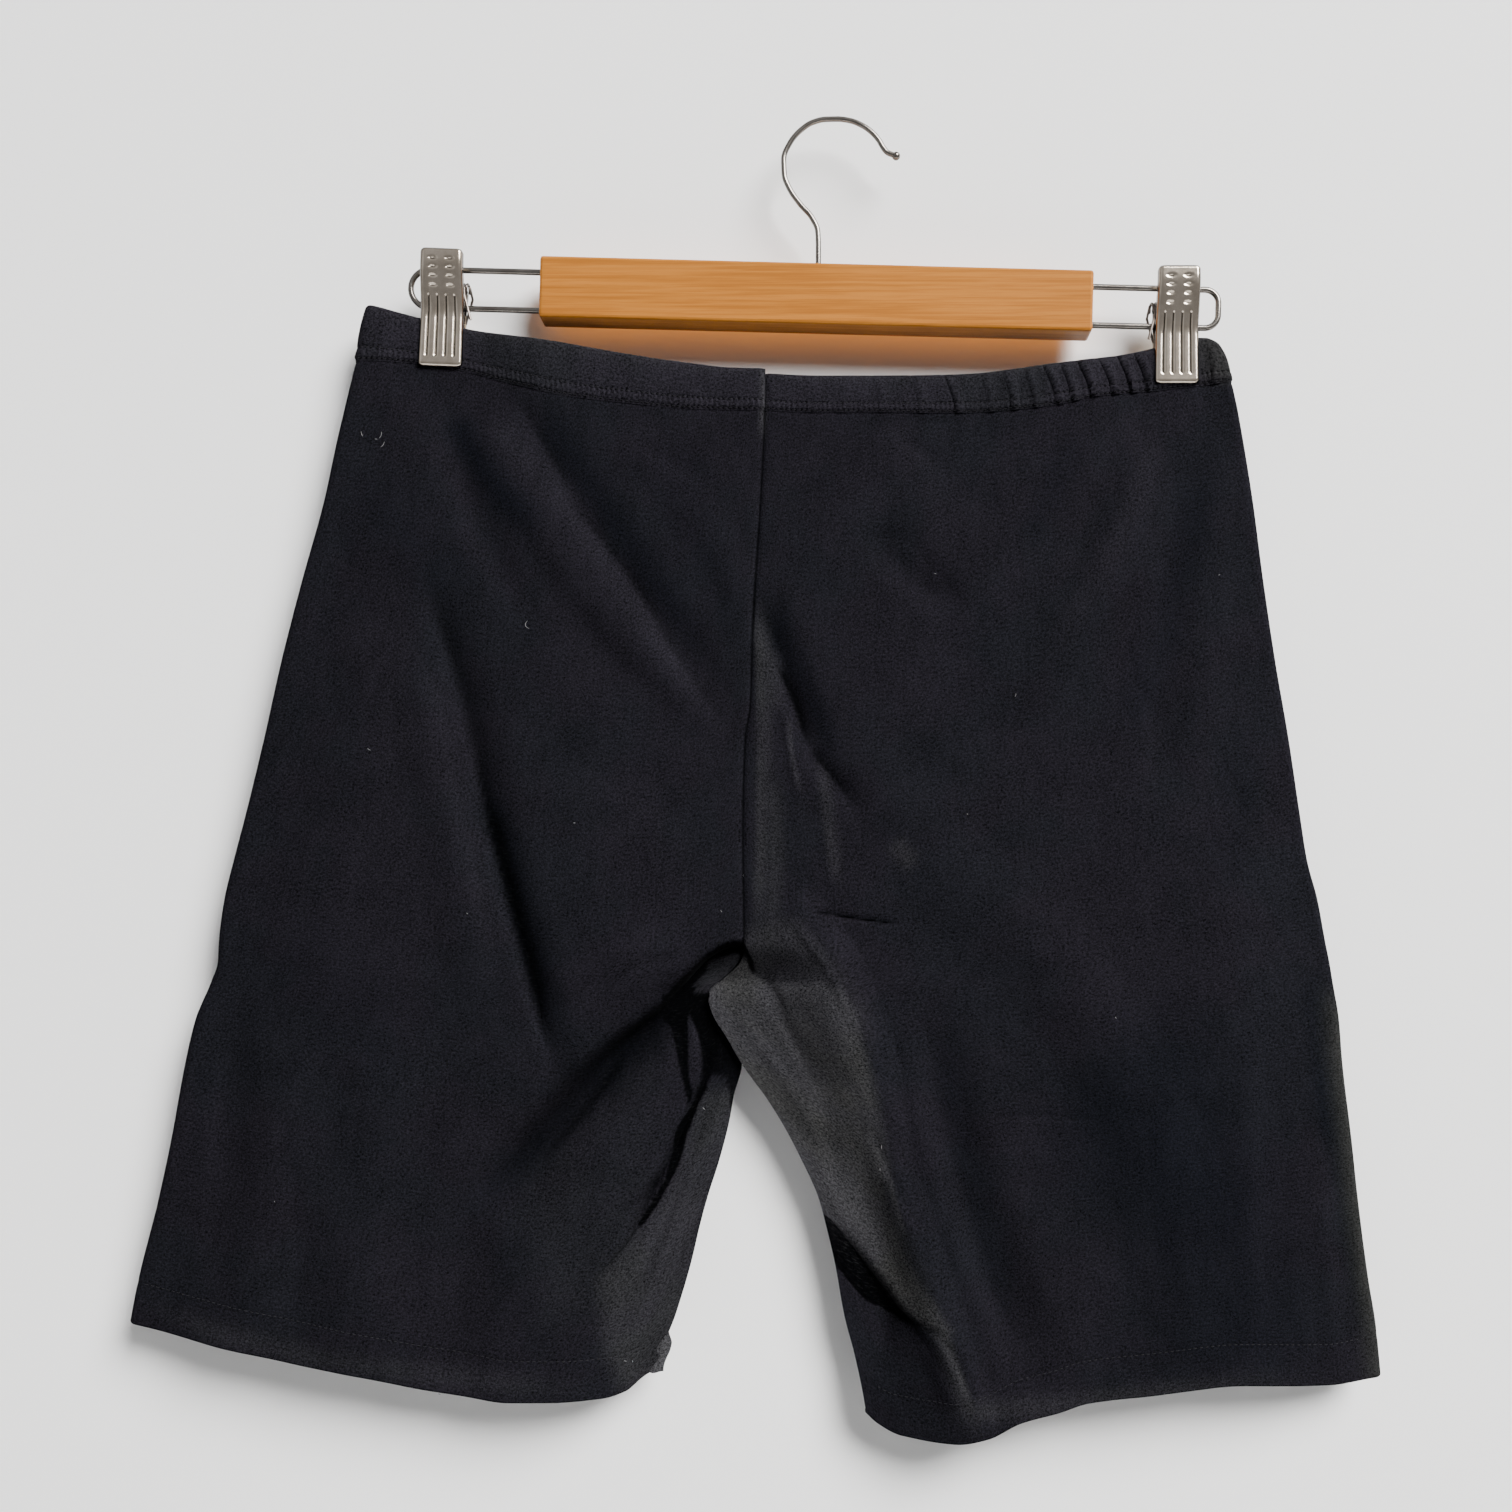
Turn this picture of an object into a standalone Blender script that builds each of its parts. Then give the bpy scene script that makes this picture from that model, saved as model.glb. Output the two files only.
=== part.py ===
"""Cycling shorts hung by the waistband from a wooden clip hanger.

The origin is the inside top of the hook, where the hanger is hung. +X is to the right of
somebody facing the shorts, +Y goes back towards the wall, +Z is up. Heights in the tables
are drops: millimetres below the origin. The tables are in millimetres, as a maker would
measure the garment with a tape, and MM turns them into metres.
"""
import math

import bmesh
import bpy
import numpy as np
from mathutils import Matrix, Vector

MM = 0.001

# ---------------------------------------------------------------- driving sizes (mm)
SEAM_GAP = 0.3              # clearance between sewn or touching pieces
PANEL_WALL = 1.3            # jersey
HEM_WALL = 2.3              # jersey turned up once inside
BAND_WALL = 2.2             # jersey, elastic, jersey
HEM_TURN_UP = 18.6          # height of the turned-up hem
SIDE_ROUND = 3.4            # radius of the soft fold down each side
SIDE_SWELL = 58.0           # how far in from the side the layers take to open out
SIDE_CALM = 26.0            # how far in from the side the folds take to reach full height
SEAM_CALM = 16.0            # the same, from an inseam
CROTCH = 409.0              # drop of the crotch point, where four seams meet
FRONT_TURN = (385.0, 405.0)     # drops between which the front turns under to the crotch
BACK_TURN = (384.0, CROTCH)     # the same for the back
FORK = 442.0                # drop where the legs part
FORK_ROW = 0.70             # share of the panel's rows above the fork
LEG_OFFSET = 1.9            # the right inseam lies this far forward, the left one back
LEG_CROSSING = (404.0, 414.0, 444.0, 484.0)     # drops where that offset comes and goes
LEG_OVERLAP = 1.0           # how far each inseam reaches past their shared line there
OVERLAP_IN, OVERLAP_OUT = 4.0, 16.0     # drops over which that reach comes and goes
INSEAM_REACH = 34.0         # how far from the inseam the offset is felt
CLOSED_LAYER = 1.0          # half distance between the layers at an inseam
CLIPPED_LAYER = 1.45        # half distance between the layers inside a clip

# Side outline, all down the garment: drop, left edge, right edge.
SIDE_OUTLINE = (
    (86, -216, 177), (101, -219.5, 180.5), (112, -221.5, 185.5), (131, -226, 190.5),
    (150, -230.5, 194), (178, -236.5, 198.5), (216, -247, 203.5), (253, -256.5, 209),
    (291, -265, 215.5), (328, -274, 221), (347, -279, 224), (366, -283.5, 229),
    (385, -286, 232.5), (395, -286.5, 234.5), (404, -289.5, 236), (422, -297, 239),
    (441, -301.5, 240.5), (479, -308.5, 245), (507, -314.5, 248), (545, -324, 253),
    (563, -327.5, 256), (582, -331, 258), (600, -334, 259.5),
)

# Inner edge of each panel: the centre-front seam above the crotch, the inseams below it:
# drop, left panel, right panel.
INNER_OUTLINE = (
    (110, -29.5, -29.5), (139, -30, -30), (182, -32, -32), (239, -35.5, -35.5),
    (276, -36.5, -36.5), (290, -38.8, -38.8), (334, -40, -40), (386, -39.3, -39.3),
    (394, -41.5, -41.5), (402, -49, -49), (409, -56, -56), (418, -54, -54),
    (430, -47, -47), (442, -42, -40), (457, -44.5, -30.5), (469, -46.5, -23),
    (487, -51, -13.5), (506, -57, -5), (519, -60.5, -1.5), (536, -64.5, 2.5),
    (561, -72, 7), (582, -80, 12.5), (605, -84, 17), (620, -86, 19),
)

# How far in from the inseam the layers take to open out: drop, left leg, right leg.
INSEAM_SWELL = (
    (380, 26, 52), (409, 30, 60), (441, 36, 60), (480, 46, 52), (620, 46, 46),
)

# Centre-back seam, the inner edge of the back layers above the crotch: drop, x.
BACK_SEAM = (
    (110, -28), (180, -31), (260, -36), (340, -40), (386, -44), (402, -50), (409, -56),
    (418, -54), (430, -47), (442, -41),
)

# Waistband edges across the front, left to right: x, drop of the top edge, drop of the seam.
BAND_LEFT = (
    (-221, 86.5, 113.5), (-201, 91.0, 114), (-171, 97.7, 118.2), (-147, 102.0, 125),
    (-121, 106.3, 131), (-91, 111.3, 134.5), (-64, 115.3, 137), (-46, 117.4, 137.4),
    (-29, 118.0, 137.6),
)
BAND_RIGHT = (
    (-31, 120.2, 137.6), (-7, 121.1, 138.6), (30, 121.2, 138.8), (64, 120.2, 138.6),
    (100, 115.6, 135.8), (126, 112.0, 130.6), (153, 106.2, 127), (174, 102.0, 124.8),
    (190, 102.4, 122.8),
)

# Hem edge: share of the way from the inseam to the side, drop.
HEM_LEFT = ((0, 584.5), (0.022, 588), (0.05, 594.5), (0.09, 597), (0.26, 597.2), (0.33, 595),
            (0.55, 585), (0.775, 574), (1, 563))
HEM_RIGHT = ((0, 605), (0.02, 610), (0.065, 615), (0.16, 616.5), (0.23, 613.5),
             (0.295, 606.5), (0.37, 601.8), (0.425, 597.6), (0.547, 593.9), (0.72, 589.4),
             (0.9, 590.6), (1, 588))

# How far each layer stands off the middle plane where nothing holds it: drop, front, back.
STAND_OFF = (
    (86, 5.5, 5.0), (140, 6.5, 5.5), (200, 8.5, 7.5), (270, 10, 9.5), (340, 11, 11),
    (409, 12, 12), (500, 12.5, 12), (560, 13, 12), (620, 14, 13),
)

# Clips: where their jaws hold the band.
CLIPS = {
    "left": {"x": -181.0, "drop": 89.5, "lean": 2.4, "jaw_drop": 115.0},
    "right": {"x": 162.9, "drop": 97.5, "lean": 0.0, "jaw_drop": 123.0},
}
JAW_FLAT = 12.0             # half width that a clip holds flat
JAW_SPREAD = 34.0           # sideways reach of its pinch
JAW_DROP = 66.0             # reach of its pinch below the jaw

# Folds. Each is a soft line from start by way of bend to end: layer, x and drop of those
# three points, width on its left and on its right as seen from the front (left is minus x),
# height (a ridge stands out, a trough has a minus), lean of its top (plus is to the right).
RIDGES = (
    ("front", -180, 132, -168, 178, -140, 232, 14, 13, -3.8, 0.0),     # left clip, steep
    ("front", -167, 134, -124, 208, -52, 284, 14, 16, 4.4, 0.0),       # left clip, long ridge
    ("front", -143, 134, -98, 206, -44, 284, 13, 16, -3.2, 0.0),       # left clip, outer
    ("front", -98, 150, -60, 190, -38, 236, 14, 16, 2.2, 0.0),         # its far swell
    ("front", -186, 222, -168, 278, -158, 330, 10, 16, -3.4, 0.0),     # left hip crease
    ("front", -159, 324, -146, 372, -127, 442, 10, 16, -4.2, 0.0),     # left thigh crease
    ("front", -196, 250, -178, 320, -164, 400, 20, 12, 2.4, 0.0),      # swell on its left
    ("front", -66, 400, -110, 448, -166, 512, 15, 30, -8.5, 0.0),      # crotch to left thigh
    ("front", -74, 384, -126, 424, -188, 476, 24, 20, 4.0, 0.0),       # swell above it
    ("front", -92, 470, -120, 512, -140, 566, 24, 20, 3.2, 0.0),       # swell below it
    ("front", -198, 430, -214, 500, -222, 580, 26, 28, 3.0, 0.0),      # left leg, outer pipe
    ("front", -164, 520, -170, 556, -176, 600, 20, 22, -2.4, 0.0),     # between the pipes
    ("front", -286, 410, -280, 470, -288, 560, 14, 20, -1.8, 0.0),     # left side crease
    ("front", 146, 136, 132, 205, 94, 274, 16, 15, 4.0, 0.0),          # right clip ridge
    ("front", 166, 134, 160, 230, 150, 330, 15, 22, -3.2, 0.0),        # beside it
    ("front", -34, 222, -18, 264, -6, 300, 10, 14, -3.8, 0.0),         # centre, beside the seam
    ("front", -8, 296, 2, 310, 16, 326, 9, 12, -2.4, 0.0),             # its tail
    ("front", 18, 196, 38, 214, 60, 232, 14, 14, -2.4, 0.0),           # short, right of it
    ("front", 8, 300, 62, 356, 128, 420, 30, 30, 2.4, 0.0),            # right hip swell
    ("front", -16, 366, 16, 420, 28, 494, 34, 11, 5.6, -2.0),          # fan from the crotch
    ("front", 28, 486, 46, 540, 72, 614, 18, 12, 4.6, -1.5),           # its lower run
    ("front", 46, 420, 62, 500, 96, 592, 14, 24, -4.0, 0.0),           # hollow beside it
    ("front", 110, 404, 150, 486, 170, 592, 30, 30, 3.2, 0.0),         # right leg, pipe
    ("front", 206, 430, 206, 500, 206, 590, 16, 18, -2.6, 0.0),        # beside the pipe
    ("front", 234, 420, 232, 500, 236, 588, 12, 12, 2.2, 0.0),         # right side facet
    ("back", -176, 143, -120, 220, -60, 300, 18, 20, 3.4, 0.0),
    ("back", -150, 143, -96, 200, -30, 262, 15, 15, -2.8, 0.0),
    ("back", 150, 146, 108, 220, 50, 300, 18, 20, 3.4, 0.0),
    ("back", 120, 148, 74, 210, 20, 268, 15, 15, -2.6, 0.0),
    ("back", -48, 402, -120, 448, -206, 500, 28, 32, -5.6, 0.0),
    ("back", -54, 402, 34, 446, 130, 494, 32, 28, -5.2, 0.0),
    ("back", -200, 430, -212, 510, -226, 584, 28, 28, 3.2, 0.0),
    ("back", -130, 470, -138, 530, -146, 590, 26, 26, 3.0, 0.0),
    ("back", 90, 440, 104, 520, 112, 594, 26, 26, 3.2, 0.0),
    ("back", 170, 430, 186, 510, 196, 586, 28, 28, 3.0, 0.0),
    ("back", -244, 300, -226, 360, -214, 430, 24, 24, -2.6, 0.0),
    ("back", 186, 290, 178, 350, 170, 430, 24, 24, -2.6, 0.0),
)

# Tucks, where the cloth on one side of a line lies lower than on the other: layer, panel,
# x and drop of start, bend and end, width of the step, its height (plus where the left side
# is the low one, seen going down the line), and how far the high side leans over.
TUCKS = (
    ("front", "left", -52, 432, -68, 472, -112, 546, 9.0, -5.5, 3.0),
    ("front", "right", -14, 490, 12, 530, 46, 580, 8.0, 6.5, 3.5),
)

# Gathers of the elastic across the right half of the band: x at the top, x at the seam,
# half width, height.
GATHERS = (
    (20, 22, 5.0, 0.7), (39, 40, 4.5, 0.8), (54, 58, 5.0, 1.0), (71, 73, 4.5, 0.8),
    (83, 85, 4.0, 1.1), (94, 98, 4.5, 1.0), (104, 107, 4.0, 1.2), (114, 118, 4.0, 1.1),
    (123, 127, 4.0, 1.2), (133, 137, 4.0, 1.2), (142, 145, 3.8, 1.1),
)

# Hanger.
BAR_LENGTH, BAR_HEIGHT, BAR_DEPTH = 258.0, 28.4, 16.0
BAR_X, BAR_DROP, BAR_TILT = -5.9, 83.2, 1.5
BAR_EASE = 1.3              # radius of its eased edges
HOOK_WIRE = 2.5
HOOK_BALL = 3.9
HOOK_IN_BAR = 12.0
LOOP_WIRE = 2.8
LOOP_SPREAD = 18.0          # between the two runs of a wire loop
LOOP_IN_BAR = 10.0
LOOPS = {
    "left": {"end": -196.5, "side": -1, "corner": 9.0},
    "right": {"end": 183.0, "side": 1, "corner": 6.4},
}

# Hook centreline: x, drop.
HOOK_LINE = (
    (-5.0, 58), (-5.3, 51.5), (-8.1, 45), (-13.5, 38.8), (-18.6, 31.4), (-21.0, 25),
    (-21.3, 17.5), (-18.3, 9.8), (-13.5, 4.1), (-7.8, 0.3), (-1.6, -1.2), (4.4, -1.3),
    (10.2, -0.5), (15.6, 1.7), (20.2, 5.0), (23.5, 8.8), (25.6, 12.4), (27.4, 14.4),
    (30.2, 15.6),
)

# Clip plates.
CLIP_HEIGHT, CLIP_TOP_WIDTH, CLIP_BOTTOM_WIDTH = 51.6, 18.0, 19.3
CLIP_SHEET = 1.0            # thickness of the pressed steel
CLIP_FLANGE = 3.2           # depth of its turned edges
CLIP_BACK_HEIGHT = 38.0
JAW_REACH = 22.0            # how far up the plates stay flat, past the band's top edge
CLIP_SPREAD = 9.0           # how far the plates stand off the middle at their tops
SPRING_OUTER, SPRING_LENGTH, SPRING_TURNS = 7.0, 11.0, 5

# Resolution of the cloth.
FRONT_COLUMNS, BACK_COLUMNS, PANEL_ROWS = 20, 9, 31
BAND_FRONT_COLUMNS, BAND_BACK_COLUMNS = 44, 24

# Finishes: base colour, roughness, metallic.
FINISHES = {
    "jersey": ((0.017, 0.016, 0.020, 1), 0.92, 0.0),
    "band": ((0.016, 0.015, 0.019, 1), 0.92, 0.0),
    "maple": ((0.52, 0.25, 0.08, 1), 0.42, 0.0),
    "nickel": ((0.52, 0.49, 0.44, 1), 0.28, 1.0),
    "wire": ((0.60, 0.58, 0.55, 1), 0.20, 1.0),
    "spring_steel": ((0.32, 0.31, 0.29, 1), 0.30, 1.0),
}


# ---------------------------------------------------------------- curves through tables
def through(rows, column, at):
    """Smooth curve through one column of a table, with no overshoot, read at `at`."""
    at = np.asarray(at, float)
    x = np.array([row[0] for row in rows], float)
    y = np.array([row[column] for row in rows], float)
    step = np.diff(x)
    slope = np.diff(y) / step
    tangent = np.zeros(len(x))
    tangent[0], tangent[-1] = slope[0], slope[-1]
    before, after = slope[:-1], slope[1:]
    weight_a = 2 * step[1:] + step[:-1]
    weight_b = step[1:] + 2 * step[:-1]
    same_way = before * after > 0
    safe_before = np.where(same_way, before, 1.0)
    safe_after = np.where(same_way, after, 1.0)
    mean = (weight_a + weight_b) / (weight_a / safe_before + weight_b / safe_after)
    tangent[1:-1] = np.where(same_way, mean, 0.0)
    i = np.clip(np.searchsorted(x, at) - 1, 0, len(step) - 1)
    q = np.clip((at - x[i]) / step[i], 0, 1)
    return (y[i] * (1 + 2 * q) * (1 - q) ** 2 + y[i + 1] * q * q * (3 - 2 * q)
            + step[i] * (tangent[i] * q * (1 - q) ** 2 - tangent[i + 1] * q * q * (1 - q)))


def ease(q):
    """0 to 1 with flat ends."""
    q = np.clip(q, 0, 1)
    return q * q * (3 - 2 * q)


def quarter_round(q):
    """Height of a quarter circle, from 0 at q = 0 to 1 at q = 1."""
    q = np.clip(q, 0, 1)
    return np.sqrt(np.maximum(1 - (1 - q) ** 2, 0))


# ---------------------------------------------------------------- the garment's form
class Side:
    """One half of the garment: its outlines, and where its cloth lies."""

    def __init__(self, name):
        self.name = name
        self.column = 1 if name == "left" else 2
        self.outward = -1 if name == "left" else 1
        self.band = BAND_LEFT if name == "left" else BAND_RIGHT
        self.hem = HEM_LEFT if name == "left" else HEM_RIGHT

    def outer(self, drop):
        return through(SIDE_OUTLINE, self.column, drop)

    def inner(self, drop, layer):
        """Inner edge: half a gap short of the shared line, and past it where the legs cross."""
        edge = through(INNER_OUTLINE, self.column, drop)
        if layer == "back":
            edge = np.where(drop < BACK_SEAM[-1][0], through(BACK_SEAM, 1, drop), edge)
        turning = closed_at(drop, layer)
        clear = SEAM_GAP * (0.75 + 5 * turning * (1 - turning) + 0.4 * turning)
        start, full, fading, _ = LEG_CROSSING
        crossing = (ease((drop - full) / OVERLAP_IN)
                    * (1 - ease((drop - fading) / OVERLAP_OUT)))
        return edge + self.outward * (clear - (clear + LEG_OVERLAP) * crossing)

    def x_at(self, share, drop, layer):
        """x of a place that is `share` of the way from the inner edge to the side."""
        return self.inner(drop, layer) * (1 - share) + self.outer(drop) * share

    def band_edge(self, share, column):
        """Drop of the band's top edge (1) or its seam (2)."""
        rough_drop = 100.0 if column == 1 else 125.0
        return through(self.band, column, self.x_at(share, rough_drop, "front"))

    def hem_edge(self, share):
        return through(self.hem, 1, share)

    def row_drop(self, share, down):
        """Drop of a row of the panel: both panels share their rows down to the fork."""
        top = self.band_edge(share, 2) + SEAM_GAP / 2
        length = self.hem_edge(share) - HEM_TURN_UP - top
        inner_top = self.band_edge(0.0, 2) + SEAM_GAP / 2
        inner_length = self.hem_edge(0.0) - HEM_TURN_UP - inner_top
        fork = (FORK - inner_top) / inner_length
        inner_down = np.interp(down, (0, FORK_ROW, 1), (0, fork, 1))
        near_inner = (1 - share) ** 2
        return top + length * (inner_down * near_inner + down * (1 - near_inner))


def closed_at(drop, layer):
    """0 where a layer stands out at the inner edge, 1 where the inseam holds it."""
    start, end = FRONT_TURN if layer == "front" else BACK_TURN
    return ease((drop - start) / (end - start))


def leg_offset(drop):
    """How far the inseams lie off the middle plane, one in front of the other."""
    start, full, fading, end = LEG_CROSSING
    return (LEG_OFFSET * ease((drop - start) / (full - start))
            * (1 - ease((drop - fading) / (end - fading))))


def pinch(x, drop):
    """1 where a clip holds the layers together, fading to 0 away from it."""
    held = np.zeros(np.broadcast(x, drop).shape)
    for clip in CLIPS.values():
        sideways = ease(1 - (np.abs(x - clip["x"]) - JAW_FLAT) / JAW_SPREAD)
        down = ease(1 - (drop - clip["jaw_drop"]) / JAW_DROP)
        held = np.maximum(held, sideways * down)
    return held


def bend_line(row, first):
    """Points along a fold's line, an even curve through start, bend and end."""
    start, bend, end = (np.array(row[first + 2 * i:first + 2 * i + 2], float) for i in range(3))
    control = 2 * bend - (start + end) / 2
    q = np.linspace(0, 1, 25)[:, None]
    return start * (1 - q) ** 2 + 2 * control * q * (1 - q) + end * q * q


def along_line(line, x, drop):
    """Distance right of a line going down it, the share along it, and its own way down."""
    a, b = line[:-1], line[1:]
    run = b - a
    length = np.linalg.norm(run, axis=1)
    offset_x = x[..., None] - a[:, 0]
    offset_drop = drop[..., None] - a[:, 1]
    share = (offset_x * run[:, 0] + offset_drop * run[:, 1]) / length ** 2
    inside = np.clip(share, 0, 1)
    gap_x = offset_x - inside * run[:, 0]
    gap_drop = offset_drop - inside * run[:, 1]
    nearest = np.argmin(gap_x ** 2 + gap_drop ** 2, axis=-1)[..., None]
    pick = lambda values: np.take_along_axis(values, nearest, -1)[..., 0]
    run_x, run_drop = run[nearest[..., 0], 0], run[nearest[..., 0], 1]
    run_length = length[nearest[..., 0]]
    across = (pick(offset_x) * run_drop - pick(offset_drop) * run_x) / run_length
    along = (nearest[..., 0] + pick(share)) / len(a)
    return across, along, run_x / run_length, run_drop / run_length


def fold_cloth(side, layer, x, drop):
    """How far the folds lift the cloth, and how far they push it sideways and down."""
    lift = np.zeros_like(x)
    push_x = np.zeros_like(x)
    push_drop = np.zeros_like(x)
    for row in RIDGES:
        if row[0] != layer:
            continue
        across, along, way_x, way_drop = along_line(bend_line(row, 1), x, drop)
        width_left, width_right, height, lean = row[7:11]
        q = np.where(across < 0, -across / width_left, across / width_right)
        shape = 0.5 + 0.5 * np.cos(math.pi * np.clip(q, 0, 1))
        shape = shape * ease(along / 0.3 + 0.35) * ease((1 - along) / 0.34 + 0.3)
        lift += height * shape
        push_x += lean * way_drop * shape
        push_drop -= lean * way_x * shape
    for row in TUCKS:
        if row[0] != layer or row[1] != side.name:
            continue
        across, along, way_x, way_drop = along_line(bend_line(row, 2), x, drop)
        width, height, overlap = row[8:11]
        step = ease(across / width + 0.5) - (1 if height > 0 else 0)
        near_line = np.exp(-(across / (1.2 * width)) ** 2)
        fade = ease(along / 0.25) * ease((1.12 - along) / 0.3)
        lift += abs(height) * fade * (step if height > 0 else -step)
        lean = -overlap if height > 0 else overlap
        push_x += lean * way_drop * near_line * fade * np.where(lift > 0, 1.0, 0.5)
        push_drop -= lean * way_x * near_line * fade * 0.5
    return lift, push_x, push_drop


def gather_band(side, layer, x, drop, down_band):
    """Short upright wrinkles that the elastic draws across the band."""
    lift = np.zeros_like(x)
    if side.name != "right":
        return lift
    shift = 0.0 if layer == "front" else -5.0
    for x_top, x_seam, half_width, height in GATHERS:
        centre = x_top + (x_seam - x_top) * down_band + shift
        q = np.clip(np.abs(x - centre) / half_width, 0, 1)
        lift += height * (0.5 + 0.5 * np.cos(math.pi * q)) * ease(down_band / 0.35)
    return lift


def cloth_points(side, layer, share, drop, down_band=None):
    """Middle of the cloth's wall: x, y and z of each place on a layer, in millimetres."""
    x = side.x_at(share, drop, layer)
    from_side = np.abs(side.outer(drop) - x)
    from_inner = np.abs(x - side.inner(drop, layer))
    held = pinch(x, drop)
    open_half = through(STAND_OFF, 1 if layer == "front" else 2, drop)
    half = CLIPPED_LAYER + (open_half - CLIPPED_LAYER) * (1 - held)
    nose = np.minimum(SIDE_ROUND, half)
    rounded = nose * quarter_round(from_side / nose)
    half_open = rounded + (half - nose) * ease(from_side / SIDE_SWELL)
    swell_width = through(INSEAM_SWELL, side.column, drop)
    swell = ease(from_inner / swell_width)
    half_closed = np.minimum(half_open, CLOSED_LAYER + (half - CLOSED_LAYER) * swell)
    closed = closed_at(drop, layer)
    stand = half_open * (1 - closed) + half_closed * closed
    lift, push_x, push_drop = fold_cloth(side, layer, x, drop)
    free = (1 - held) * ease(from_side / SIDE_CALM)
    free = free * (1 - closed * (1 - ease(from_inner / SEAM_CALM)))
    if down_band is not None:
        lift = lift + gather_band(side, layer, x, drop, down_band)
    stand = np.maximum(stand + lift * free, np.minimum(stand, CLOSED_LAYER))
    hold_x = free * ease(from_inner / SEAM_CALM)
    way = -1 if layer == "front" else 1
    aside = -side.outward * leg_offset(drop) * (1 - ease(from_inner / INSEAM_REACH))
    return np.stack([x + push_x * hold_x, way * stand + aside,
                     -(drop + push_drop * hold_x)], -1)


def column_shares(count, side_marks, inner_marks):
    """Places across a layer, from the inner edge (0) to the side (1), closer at both."""
    middle = np.linspace(inner_marks[-1], 1 - side_marks[-1], count + 2)[1:-1]
    return np.concatenate([inner_marks, middle, 1 - np.array(side_marks[::-1])])


def ring_of(side, front_shares, back_shares, drop_of, down_band=None):
    """Rows of points round a half: centre front, out to the side, back to centre back."""
    front_drop = drop_of(front_shares)
    back_drop = drop_of(back_shares)
    band_front = None if down_band is None else down_band * np.ones_like(front_drop)
    band_back = None if down_band is None else down_band * np.ones_like(back_drop)
    front = cloth_points(side, "front", front_shares, front_drop, band_front)
    back = cloth_points(side, "back", back_shares, back_drop, band_back)
    return np.concatenate([front, back[::-1][1:]])


# ---------------------------------------------------------------- walls and meshes
def surface_normals(grid, outward):
    """Unit normals of a grid of points, pointing out of the garment."""
    across = np.gradient(grid, axis=1)
    down = np.gradient(grid, axis=0)
    normal = np.cross(across, down) * -outward
    return normal / np.linalg.norm(normal, axis=2, keepdims=True)


def wall_mesh(name, grid, outward, outer_half, inner_half):
    """Closed wall round a grid of middle points, in metres."""
    rows, columns = grid.shape[:2]
    normal = surface_normals(grid, outward)
    outer = grid + normal * outer_half[..., None]
    inner = grid - normal * inner_half[..., None]
    points = np.concatenate([outer.reshape(-1, 3), inner.reshape(-1, 3)]) * MM
    index = np.arange(rows * columns).reshape(rows, columns)
    lower = index + rows * columns
    faces = []
    for r in range(rows - 1):
        for c in range(columns - 1):
            faces.append((index[r, c], index[r, c + 1], index[r + 1, c + 1], index[r + 1, c]))
            faces.append((lower[r, c], lower[r + 1, c], lower[r + 1, c + 1], lower[r, c + 1]))
    border = ([(0, c) for c in range(columns)] + [(r, columns - 1) for r in range(1, rows)]
              + [(rows - 1, c) for c in range(columns - 2, -1, -1)]
              + [(r, 0) for r in range(rows - 2, 0, -1)])
    for (r1, c1), (r2, c2) in zip(border, border[1:] + border[:1]):
        faces.append((index[r1, c1], lower[r1, c1], lower[r2, c2], index[r2, c2]))
    mesh = bpy.data.meshes.new(name)
    mesh.from_pydata([tuple(p) for p in points], [], [tuple(map(int, f)) for f in faces])
    return close_up(mesh)


def close_up(mesh):
    """Turn every face of a closed mesh outwards and shade it smooth."""
    work = bmesh.new()
    work.from_mesh(mesh)
    bmesh.ops.recalc_face_normals(work, faces=work.faces)
    work.to_mesh(mesh)
    work.free()
    mesh.shade_smooth()
    mesh.set_sharp_from_angle(angle=math.radians(50))
    return mesh


def finish(name):
    """Material of a piece."""
    material = bpy.data.materials.get(name)
    if material is None:
        colour, roughness, metallic = FINISHES[name]
        material = bpy.data.materials.new(name)
        material.use_nodes = True
        shader = material.node_tree.nodes["Principled BSDF"]
        shader.inputs["Base Color"].default_value = colour
        shader.inputs["Roughness"].default_value = roughness
        shader.inputs["Metallic"].default_value = metallic
        material.diffuse_color = colour
    return material


def place(name, mesh, finish_name, parent, location=(0, 0, 0), rotation=(0, 0, 0)):
    """Link a piece into the scene under its parent."""
    piece = bpy.data.objects.new(name, mesh)
    mesh.materials.append(finish(finish_name))
    bpy.context.scene.collection.objects.link(piece)
    piece.location = location
    piece.rotation_euler = rotation
    piece.parent = parent
    return piece


# ---------------------------------------------------------------- garment pieces
def panel_rows():
    """Places down a panel above its hem, 0 at the band seam and 1 at the hem stitch."""
    return np.concatenate([[0.0, 0.012], np.linspace(0.012, 1, PANEL_ROWS)[1:]])


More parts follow.
